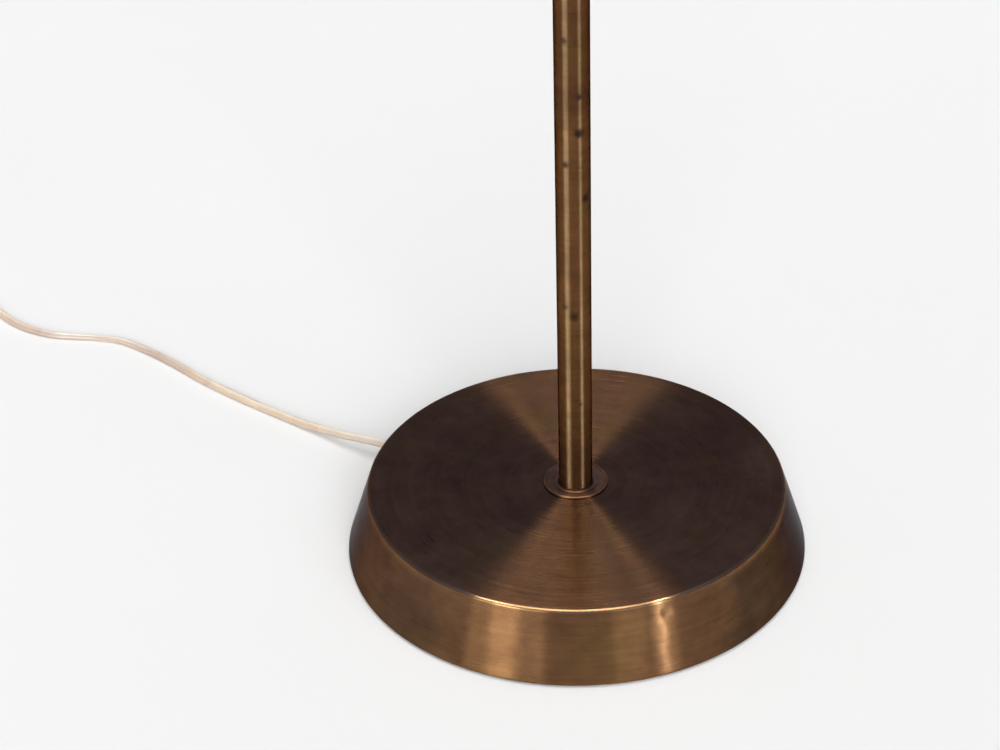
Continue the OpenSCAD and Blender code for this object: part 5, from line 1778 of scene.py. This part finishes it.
@dataclass
class LampBase:
    """Weighted base, in millimetres: spun shell, foot ring, and what is inside and under it."""

    top_r: float = 112.5
    rim_r: float = 124.6875
    height: float = 40.0
    sheet: float = 1.2
    edge_r: float = 2.0
    rim_gap: float = 1.0
    rim_roll: float = 1.1
    hem: float = 4.0
    hole_r: float = 5.4
    slope: float = 0.3125
    ring_bore: float = 9.05
    ring_rim: float = 11.5
    ring_r: float = 17.5
    ring_h: float = 1.4
    cord: MainsCord = field(default_factory=MainsCord)
    cord_hole_r: float = 4.55
    drill_l: float = 16.0
    lead_low: float = 8.5
    lead_held: float = 21.45
    # Unevenness of the spun side.
    even_r: float = 90.0
    edge_in: float = 3.0
    edge_blend: float = 4.0
    ripple: float = 0.026
    ripples: float = 62.0
    fine_ripples: float = 150.0
    fine_share: float = 0.6
    fine_shift: Place = (3.1, 7.7, 1.3)
    wobble: float = 0.16
    wobbles: float = 2.6
    wobble_z: float = 0.4
    dent_fall: float = 1.6
    dents: tuple[Dent, ...] = (
        Dent(-68.9, 33.0, 2.2, 0.30), Dent(-71.4, 24.0, 4.0, 0.045), Dent(-69.2, 14.0, 4.5, 0.045),
        Dent(-106.0, 15.5, 4.0, 0.08), Dent(-112.0, 27.0, 5.0, 0.07), Dent(-86.0, 20.0, 4.0, 0.07),
        Dent(-81.5, 24.0, 3.0, 0.07), Dent(-127.0, 11.0, 4.5, 0.08), Dent(-60.0, 13.0, 5.0, 0.06),
        Dent(-30.0, 22.0, 5.0, 0.16), Dent(35.0, 17.0, 4.0, 0.18), Dent(98.0, 26.0, 5.0, 0.15),
        Dent(-165.0, 20.0, 4.0, 0.16),
    )
    shell: Piece | None = None

    def side_r(self, z: float, inset: float) -> float:
        """Radius of the side at a height, moved inward square to it."""
        return self.top_r + (self.height - z) * self.slope - inset * math.hypot(1.0, self.slope)

    def shell_outline(self) -> Outline:
        """Outline of the spun sheet, from the stud's hole over the top to the hem and back inside.

        Returns:
            Radii and heights in millimetres.
        """
        slant = math.atan(self.slope)
        lean = math.degrees(slant)
        edge_x = self.top_r - self.edge_r * (1.0 - math.sin(slant)) / math.cos(slant)
        edge_z = self.height - self.edge_r
        hem_top = self.rim_gap + self.sheet
        outside = arc(edge_x, edge_z, self.edge_r, 90.0, lean, 10)
        inside = arc(edge_x, edge_z, self.edge_r - self.sheet, lean, 90.0, 6)
        roll = arc(self.rim_r - self.rim_roll, self.rim_gap + self.rim_roll, self.rim_roll, lean, -90.0, 8)
        outline = [(self.hole_r, self.height - self.sheet), (self.hole_r, self.height)]
        outline += stretch((self.hole_r, self.height), outside[0], 14) + outside
        outline += [*stretch(outside[-1], roll[0], 26), *roll]
        outline += [(self.rim_r - self.hem, self.rim_gap), (self.rim_r - self.hem, hem_top)]
        inner_foot = (self.side_r(hem_top, self.sheet), hem_top)
        outline += [inner_foot, *stretch(inner_foot, inside[0], 12), *inside]
        outline += stretch(inside[-1], outline[0], 6)
        return outline

    def build_shell(self) -> None:
        """Spins the shell, drills the cord's hole and wears it."""
        shell = turned("spun_shell", self.shell_outline(), BASE_BRASS, 288)
        DRILLED.apply(
            shell, BASE_BRASS, count=1, first_angle=math.radians(self.cord.exit_az),
            radius=self.cord_hole_r * MM, reach=self.rim_r * MM, length=self.drill_l * MM,
            height=self.cord.gland_z * MM,
        )
        for vertex in shell.data.vertices:
            vertex.co += self.wear(vertex.co)
        self.shell = finish_piece(shell, Body.STAND, BASE_BRASS, "base_shell")

    def wear(self, point: Vector) -> Vector:
        """Gives the unevenness of the spun side at a point.

        Args:
            point: The point in metres.

        Returns:
            How far it moves, in metres.
        """
        r = math.hypot(point.x, point.y)
        if r < self.even_r * MM:
            return Vector(ORIGIN)
        out = Vector((point.x / r, point.y / r, 0.0))
        drop = limited(1.0 - point.z / (self.height * MM))
        on_side = limited((r / MM - self.top_r + self.edge_in) / self.edge_blend)
        fine = noise.noise(point * self.fine_ripples + Vector(self.fine_shift))
        move = self.ripple * (noise.noise(point * self.ripples) + self.fine_share * fine) * on_side
        move += self.wobble * noise.noise(Vector((out.x, out.y, self.wobble_z)) * self.wobbles) * drop ** 2
        azimuth = math.degrees(math.atan2(point.y, point.x))
        for dent in self.dents:
            away = math.radians((azimuth - dent.azimuth + 180.0) % 360.0 - 180.0) * r / MM
            far = math.hypot(away, point.z / MM - dent.z) / dent.r
            move -= dent.depth * math.exp(-far * far * self.dent_fall) * on_side
        return out * move * MM

    def build_ring(self) -> None:
        """Turns the low ring round the pole's foot."""
        z = self.height
        bead = self.ring_h / 2.0
        middle = self.ring_r - bead
        top, dip = z + 0.72, z + 0.58
        bore, rim = self.ring_bore, self.ring_rim
        outline = [(bore, z), (bore, top - 0.3), (bore + 0.3, top - 0.1)]
        outline += [(rim - 0.9, top), (rim - 0.3, top - 0.02), (rim, top - 0.14), (rim + 0.15, top - 0.3)]
        outline += [(rim + 0.45, dip), (middle - 1.6, dip), (middle - 0.85, z + 0.66)]
        outline += arc(middle, z + bead, bead, 168.0, -90.0, 16)
        ring = turned("foot_ring", outline, RING_BRASS, 128)
        finish_piece(ring, Body.STAND, RING_BRASS, "pole_collar")

    def build_lead(self) -> None:
        """Runs the cord from the bush through the clamp and up the stud."""
        cord, low, held = self.cord, self.lead_low, self.lead_held
        z = cord.gland_z
        line = [
            (cord.gland_shell_r + cord.gland_l, z), (cord.gland_shell_r, z), (cord.gland_in_r, z),
            (cord.gland_in_r - 14, z + 4), (84, held - 1), (70, held), (56, held - 1), (45, held - 6),
            (28, low + 2), (13, low), (3.5, low + 1.5), (0, 15.8), (0, 40), (0, 70),
        ]
        turn = Matrix.Rotation(math.radians(cord.exit_az), 3, "Z")
        run = spline([Vector((x, 0.0, height)) for x, height in line], EAST * -PULL, UP * PULL, 5)
        path = [turn @ point for point in run]
        lead = swept("base_flex", path, [turn @ NORTH] * len(path), cord.section(), FLEX)
        finish_piece(lead, Body.STAND, FLEX, "base_lead")

    def build(self) -> None:
        """Makes and dresses the whole base."""
        self.build_shell()
        self.build_ring()
        self.build_lead()
        dress_nodes(IRON, "base_weight")
        dress_nodes(ZINC, "base_cover", "cover_screws", "clamp_screws")
        dress_nodes(ZINC, "base_washer", "lock_washer", "base_nut")
        dress_nodes(FELT, "base_felt")
        dress_nodes(TURNED_BRASS, "pole_stud", "foot_plug")
        dress_nodes(BAKELITE, "cord_clamp")


# Pole


@dataclass
class Pole:
    """Lower pole, in millimetres, with its clamp collar and screw, and the inner pole that slides in it."""

    bottom: float = 40.0
    top: float = 700.0
    r: float = 9.0
    bore_r: float = 8.0
    inner_r: float = 7.0
    inner_bore_r: float = 5.8
    inner_bottom: float = 495.0
    inner_top: float = 1195.0
    clamp_z: float = 708.0
    knob_y: float = -20.0
    knob_r: float = 9.0
    knob_l: float = 9.0
    screw_r: float = 2.5
    tip_y: float = -9.3
    ribs: int = 24
    rib_r: float = 0.75
    lead_bottom: float = 70.3
    lead_top: float = 1219.3
    lead_keep: float = 0.735
    soft: float = 0.25
    steps: int = 44
    straightness: float = 0.012
    waves_round: float = 90.0
    waves_along: float = 38.0
    lower: Piece | None = None

    def build_tube(self, name: str, node: str, body: Body, size: tuple[float, ...]) -> Piece:
        """Makes one tube that is not quite straight.

        Args:
            name: The piece's name.
            node: The CAD node that it replaces.
            body: The body that carries it.
            size: Inside and outside radius, lower and upper end, in millimetres.

        Returns:
            The tube, in place.
        """
        piece = turned(name, tube_outline(*size, self.soft, self.steps), POLE_BRASS, 96)
        for vertex in piece.data.vertices:
            x, y, z = vertex.co
            wave = noise.noise(Vector((x * self.waves_round, y * self.waves_round, z * self.waves_along)))
            vertex.co += Vector((x, y, 0.0)).normalized() * wave * self.straightness * MM
        return finish_piece(piece, body, POLE_BRASS, node)

    def build_screw(self) -> None:
        """Makes the clamp screw with its ribbed head."""
        tip, z0 = -self.tip_y, -self.knob_y
        z1 = z0 + self.knob_l
        r, body = self.screw_r, self.knob_r - 0.5
        outline = [(0.0, tip), (r - 0.3, tip), (r, tip + 0.4)]
        for i in range(9):
            z = tip + 1.2 + i * 0.8
            outline += [(r, z), (r - 0.3, z + 0.4)]
        outline += [(r, z0 - 0.4), (r, z0), (body - 1.2, z0), (body - 0.3, z0 + 0.3), (body, z0 + 1.0)]
        outline += [(body, z1 - 1.2), (body - 0.4, z1 - 0.4), (body - 1.4, z1)]
        outline += [(body - 2.2, z1), (body - 2.7, z1 - 0.5), (0.0, z1 - 0.5)]
        knob = turned("clamp_thumb_screw", outline, HEAD_BRASS, 72)
        RIBBED.apply(
            knob, HEAD_BRASS, count=self.ribs, radius=self.rib_r * MM, reach=(self.knob_r - self.rib_r) * MM,
            length=(self.knob_l - 2.2) * MM, height=(z0 + z1) / 2.0 * MM,
        )
        brush(knob)
        set_down(knob, placed(Along.Y, (0.0, 0.0, self.clamp_z)))
        finish_piece(knob, Body.CLAMP, HEAD_BRASS, "clamp_knob")

    def build_lead(self) -> None:
        """Runs the lead straight up the pole."""
        ends = ((0.0, 0.0, self.lead_bottom), (0.0, 0.0, self.lead_top))
        lead = straight_lead("pole_flex", "pole_lead", Body.STAND, ends, EAST, 60)
        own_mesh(lead)

    def build(self) -> None:
        """Makes and dresses the pole."""
        outer = (self.bore_r, self.r, self.bottom, self.top)
        inner = (self.inner_bore_r, self.inner_r, self.inner_bottom, self.inner_top)
        self.lower = self.build_tube("lower_tube", "lower_pole", Body.STAND, outer)
        self.build_tube("inner_tube", "inner_pole", Body.MAST, inner)
        refined("clamp_collar_turned", "clamp_collar", Body.STAND, HEAD_BRASS, soften=0.3)
        self.build_screw()
        self.build_lead()
        dress_nodes(NYLON, "guide_bush", "clamp_tip")


# Arm

# The tilting axis at the arm's end, in millimetres.
TILT_X = 320.0
TILT_Z = 1224.6


@dataclass
class SwingArm:
    """Arm, in millimetres, that swings round the pole's top: swivel, hub, tube and drum."""

    z: float = TILT_Z
    hub_r: float = 15.0
    hub_top: float = 1233.9
    cavity_r: float = 11.0
    spigot: float = 4.0
    dome_h: float = 7.0
    ball_r: float = 4.5
    neck_r: float = 3.4
    tube_r: float = 5.0
    tube_bore: float = 4.0
    tube_from: float = 11.0
    tube_to: float = 310.0
    reach: float = TILT_X

    def build_cap(self) -> None:
        """Turns the domed cap with its ball."""
        r, seat = self.hub_r, self.hub_top
        foot, fit = seat - self.spigot, self.cavity_r - 0.05
        dome_r = (r ** 2 + self.dome_h ** 2) / (2.0 * self.dome_h)
        top = seat + 1.0 + self.dome_h
        first, last = [math.degrees(math.acos(x / dome_r)) for x in (r, self.neck_r)]
        outline = [(0.0, foot), (fit, foot), (fit, seat), (r - 0.2, seat), (r, seat + 0.2), (r, seat + 0.8)]
        outline += arc(0.0, top - dome_r, dome_r, first + 1.0, last, 14)
        outline += [(3.0, top - 0.05), (2.85, top + 0.12)]
        outline += arc(0.0, top + self.ball_r - 1.0, self.ball_r, -48.0, 90.0, 18)
        cap = turned("hub_dome", outline, HEAD_BRASS, 96)
        finish_piece(cap, Body.ARM, HEAD_BRASS, "hub_cap")

    def build_tube(self) -> None:
        """Makes the arm's tube and the lead in it."""
        outline = tube_outline(self.tube_bore, self.tube_r, -self.tube_to, -self.tube_from, 0.2, 24)
        tube = turned("arm_tube_brushed", outline, POLE_BRASS, 80)
        set_down(tube, placed(Along.X, (0.0, 0.0, self.z)))
        finish_piece(tube, Body.ARM, POLE_BRASS, "arm_tube")
        level = self.z - self.tube_bore + LEAD_R + 0.3
        ends = ((self.tube_from, 0.0, level), (self.tube_to, 0.0, level))
        straight_lead("arm_flex", "arm_lead", Body.ARM, ends, NORTH, 40)

    def build(self) -> None:
        """Makes and dresses the arm and its swivel."""
        self.build_cap()
        self.build_tube()
        refined("arm_hub_turned", "arm_hub", Body.ARM, HEAD_BRASS)
        refined("arm_ferrule_turned", "arm_ferrule", Body.ARM, HEAD_BRASS, (0.0, 0.0, self.z), Along.X)
        refined("tilt_drum", "arm_knuckle", Body.ARM, HEAD_BRASS, (self.reach, 0.0, self.z), Along.Y)
        refined("swivel_post_turned", "swivel_post", Body.MAST, HEAD_BRASS)
        refined("swivel_friction_washers", "swivel_washers", Body.MAST, NYLON, soften=0.1)
        dress_nodes(ZINC, "swivel_nut")


# Head


@dataclass
class LampHead:
    """Tilting head: fork, shade, lamp holder, bulb and switch.

    Sizes are in millimetres, and heights count from the tilting axis.
    """

    x: float = TILT_X
    z: float = TILT_Z
    shade_top: float = -27.5
    shade_sheet: float = 0.8
    neck_r: float = 26.0
    neck_edge: float = 6.0
    flare_top: float = -82.5
    flare: float = 40.0
    cove_r: float = 12.0
    mouth_r: float = 115.0
    bead_r: float = 1.8
    bead_bare: float = 0.4
    inside_limit: float = -0.15
    hole_r: float = 5.4
    drill_l: float = 8.0
    vents: int = 10
    vent_r: float = 2.5
    vent_z: float = -71.5
    switch_z: float = -47.1
    switch_hole_r: float = 4.05
    bulb_r: float = 30.0
    bulb_neck_r: float = 12.4
    bulb_shoulder_r: float = 36.0
    bulb_arc_top: float = -91.9
    bulb_neck_in: float = 14.0
    bulb_wall: float = 0.8
    bulb_seam: float = 0.97
    knob_in: float = 28.3
    knob_l: float = 12.0
    knob_r: float = 7.5
    knob_ribs: int = 18
    knob_rib_r: float = 0.72
    spindle_r: float = 2.05
    lead_low: float = -52.6
    lead_high: float = -12.0

    @property
    def axis(self) -> Place:
        """Middle of the tilting axis."""
        return (self.x, 0.0, self.z)

    @property
    def switch(self) -> Place:
        """Where the switch's axis crosses the head's own."""
        return (self.x, 0.0, self.z + self.switch_z)

    def shade_outline(self) -> Outline:
        """Outline of the spun shade, down its outside and back up its inside.

        Returns:
            Radii and heights in millimetres.
        """
        top, t = self.shade_top, self.shade_sheet
        lean = math.radians(self.flare)
        neck = (self.neck_r - self.neck_edge, top - self.neck_edge)
        hollow = (self.neck_r + self.cove_r, self.flare_top)
        cone_r = hollow[0] - self.cove_r * math.cos(lean)
        cone_z = self.flare_top - self.cove_r * math.sin(lean)
        mouth_z = cone_z - (self.mouth_r - cone_r) / math.tan(lean)
        sink = t * math.cos(lean)
        first = self.flare + math.degrees(math.acos(sink / self.bead_r))
        last = self.flare + math.degrees(math.acos((sink - t) / self.bead_r)) - 360.0
        shoulder = arc(*neck, self.neck_edge, 90.0, 0.0, 10)
        cove = arc(*hollow, self.cove_r, 180.0, 180.0 + self.flare, 10)
        roll = arc(self.mouth_r - t, mouth_z, self.bead_r, first, last, 20)
        inner_cove = arc(*hollow, self.cove_r + t, 180.0 + self.flare, 180.0, 10)
        inner_shoulder = arc(*neck, self.neck_edge - t, 0.0, 90.0, 8)
        hole = (self.hole_r, top)
        outline = [(self.hole_r, top - t), hole, *stretch(hole, shoulder[0], 3), *shoulder]
        outline += [*stretch(shoulder[-1], cove[0], 14), *cove, *stretch(cove[-1], roll[0], 26), *roll]
        outline += [*stretch(roll[-1], inner_cove[0], 20), *inner_cove]
        return outline + [*stretch(inner_cove[-1], inner_shoulder[0], 10), *inner_shoulder]

    def build_shade(self) -> None:
        """Spins the shade, drills its vents and the switch hole, and enamels its inside."""
        shade = turned("spun_shade", self.shade_outline(), HEAD_BRASS, 192)
        for count, first, r, height in (
            (self.vents, math.pi / self.vents, self.vent_r, self.vent_z),
            (1, -math.pi / 2.0, self.switch_hole_r, self.switch_z),
        ):
            DRILLED.apply(
                shade, HEAD_BRASS, count=count, first_angle=first, radius=r * MM, reach=self.neck_r * MM,
                length=self.drill_l * MM, height=height * MM,
            )
        shade.data.materials.append(ENAMEL.material())
        lip = (self.mouth_r - self.shade_sheet - self.bead_r * self.bead_bare) * MM
        for polygon in shade.data.polygons:
            middle = polygon.center
            r = math.hypot(middle.x, middle.y)
            outward = (polygon.normal.x * middle.x + polygon.normal.y * middle.y) / max(r, ON_AXIS)
            polygon.material_index = int(outward + polygon.normal.z < self.inside_limit and r < lip)
        set_down(shade, placed(Along.Z, self.axis))
        finish_piece(shade, Body.HEAD, HEAD_BRASS, "shade")

    def build_bulb(self) -> None:
        """Blows the bulb's opal glass."""
        r, neck, wall, z = self.bulb_r, self.bulb_neck_r, self.bulb_wall, self.bulb_arc_top
        x = neck + self.bulb_shoulder_r
        drop = math.sqrt((r + self.bulb_shoulder_r) ** 2 - x ** 2)
        lean = math.degrees(math.atan(drop / x))
        turn = 180.0 + self.bulb_seam * lean
        top = z + self.bulb_neck_in
        outline = [(neck - wall, top), (neck, top), *stretch((neck, top), (neck, z), 4)]
        outline += arc(x, z, self.bulb_shoulder_r, 180.0, turn, 16) + arc(0.0, z - drop, r, lean, -90.0, 40)
        outline += arc(0.0, z - drop, r - wall, -90.0, lean, 24)
        outline += arc(x, z, self.bulb_shoulder_r + wall, turn, 180.0, 10)
        bulb = turned("bulb_opal_glass", outline, OPAL, 96)
        set_down(bulb, placed(Along.Z, self.axis))
        finish_piece(bulb, Body.HEAD, OPAL, "bulb_glass")

    def build_knob(self) -> None:
        """Makes the switch's ribbed knob."""
        z0 = self.knob_in
        z1 = z0 + self.knob_l
        body, foot, bore = self.knob_r - 0.45, self.knob_r - 0.2, self.spindle_r
        outline = [(body - 0.2, z0), (foot, z0 + 0.2), (foot, z0 + 1.6), (body, z0 + 2.0)]
        outline += [(body, z1 - 1.6), (body - 0.25, z1 - 0.8), (body - 0.9, z1 - 0.2), (body - 1.7, z1)]
        outline += [(3.4, z1 - 0.15), (3.1, z1 - 0.5), (0.0, z1 - 0.6)]
        outline += [(0.0, z1 - 2.8), (bore, z1 - 2.8), (bore, z0)]
        knob = turned("switch_ribbed_knob", outline, BAKELITE, 72)
        RIBBED.apply(
            knob, BAKELITE, count=self.knob_ribs, radius=self.knob_rib_r * MM,
            reach=(self.knob_r - self.knob_rib_r) * MM, length=(self.knob_l - 3.6) * MM,
            height=(z0 + z1 + 0.6) / 2.0 * MM,
        )
        set_down(knob, placed(Along.Y, self.switch))
        finish_piece(knob, Body.SWITCH, BAKELITE, "switch_knob")

    def build_lead(self) -> None:
        """Runs the lead down the nipple."""
        ends = ((self.x, 0.0, self.z + self.lead_low), (self.x, 0.0, self.z + self.lead_high))
        straight_lead("head_flex", "head_lead", Body.HEAD, ends, EAST, 12)

    def build(self) -> None:
        """Makes and dresses the head and its switch."""
        self.build_shade()
        self.build_bulb()
        self.build_knob()
        self.build_lead()
        for name, node, finish, at, along, soften in (
            ("tilt_fork", "head_fork", HEAD_BRASS, self.axis, Along.Z, 0.35),
            ("tilt_slotted_bolt", "tilt_bolt", HEAD_BRASS, self.axis, Along.Y, 0.2),
            ("tilt_domed_nut", "tilt_nut", HEAD_BRASS, self.axis, Along.Y, 0.2),
            ("tilt_plain_washers", "tilt_washers", ZINC, self.axis, Along.Y, 0.12),
            ("shade_seat_washer", "shade_seat", HEAD_BRASS, self.axis, Along.Z, 0.25),
            ("switch_bush_turned", "switch_bush", HEAD_BRASS, self.switch, Along.Y, 0.2),
            ("holder_upper_half", "holder_cap", BAKELITE, self.axis, Along.Z, 0.3),
            ("holder_lower_half", "holder_body", BAKELITE, self.axis, Along.Z, 0.3),
        ):
            refined(name, node, Body.HEAD, finish, at, along, soften)
        dress_nodes(TURNED_BRASS, "head_nipple", "socket_shell", "centre_contact", "switch_leaves")
        dress_nodes(ZINC, "shade_nut", "switch_spindle")
        dress_nodes(CERAMIC, "socket_insert")
        dress_nodes(NICKEL, "bulb_cap")
        dress_nodes(BAKELITE, "bulb_contact", "switch_cam")


def main() -> None:
    """Builds the cord and the lamp in order, then the studio round them."""
    logging.basicConfig(level=logging.INFO, format="%(message)s")
    base, pole = LampBase(), Pole()
    for assembly in (MainsCord(), base, pole, SwingArm(), LampHead()):
        assembly.build()
        LOG.info("%s done", type(assembly).__name__)
    Studio().build(base.shell, pole.lower)


if __name__ == "__main__":
    main()
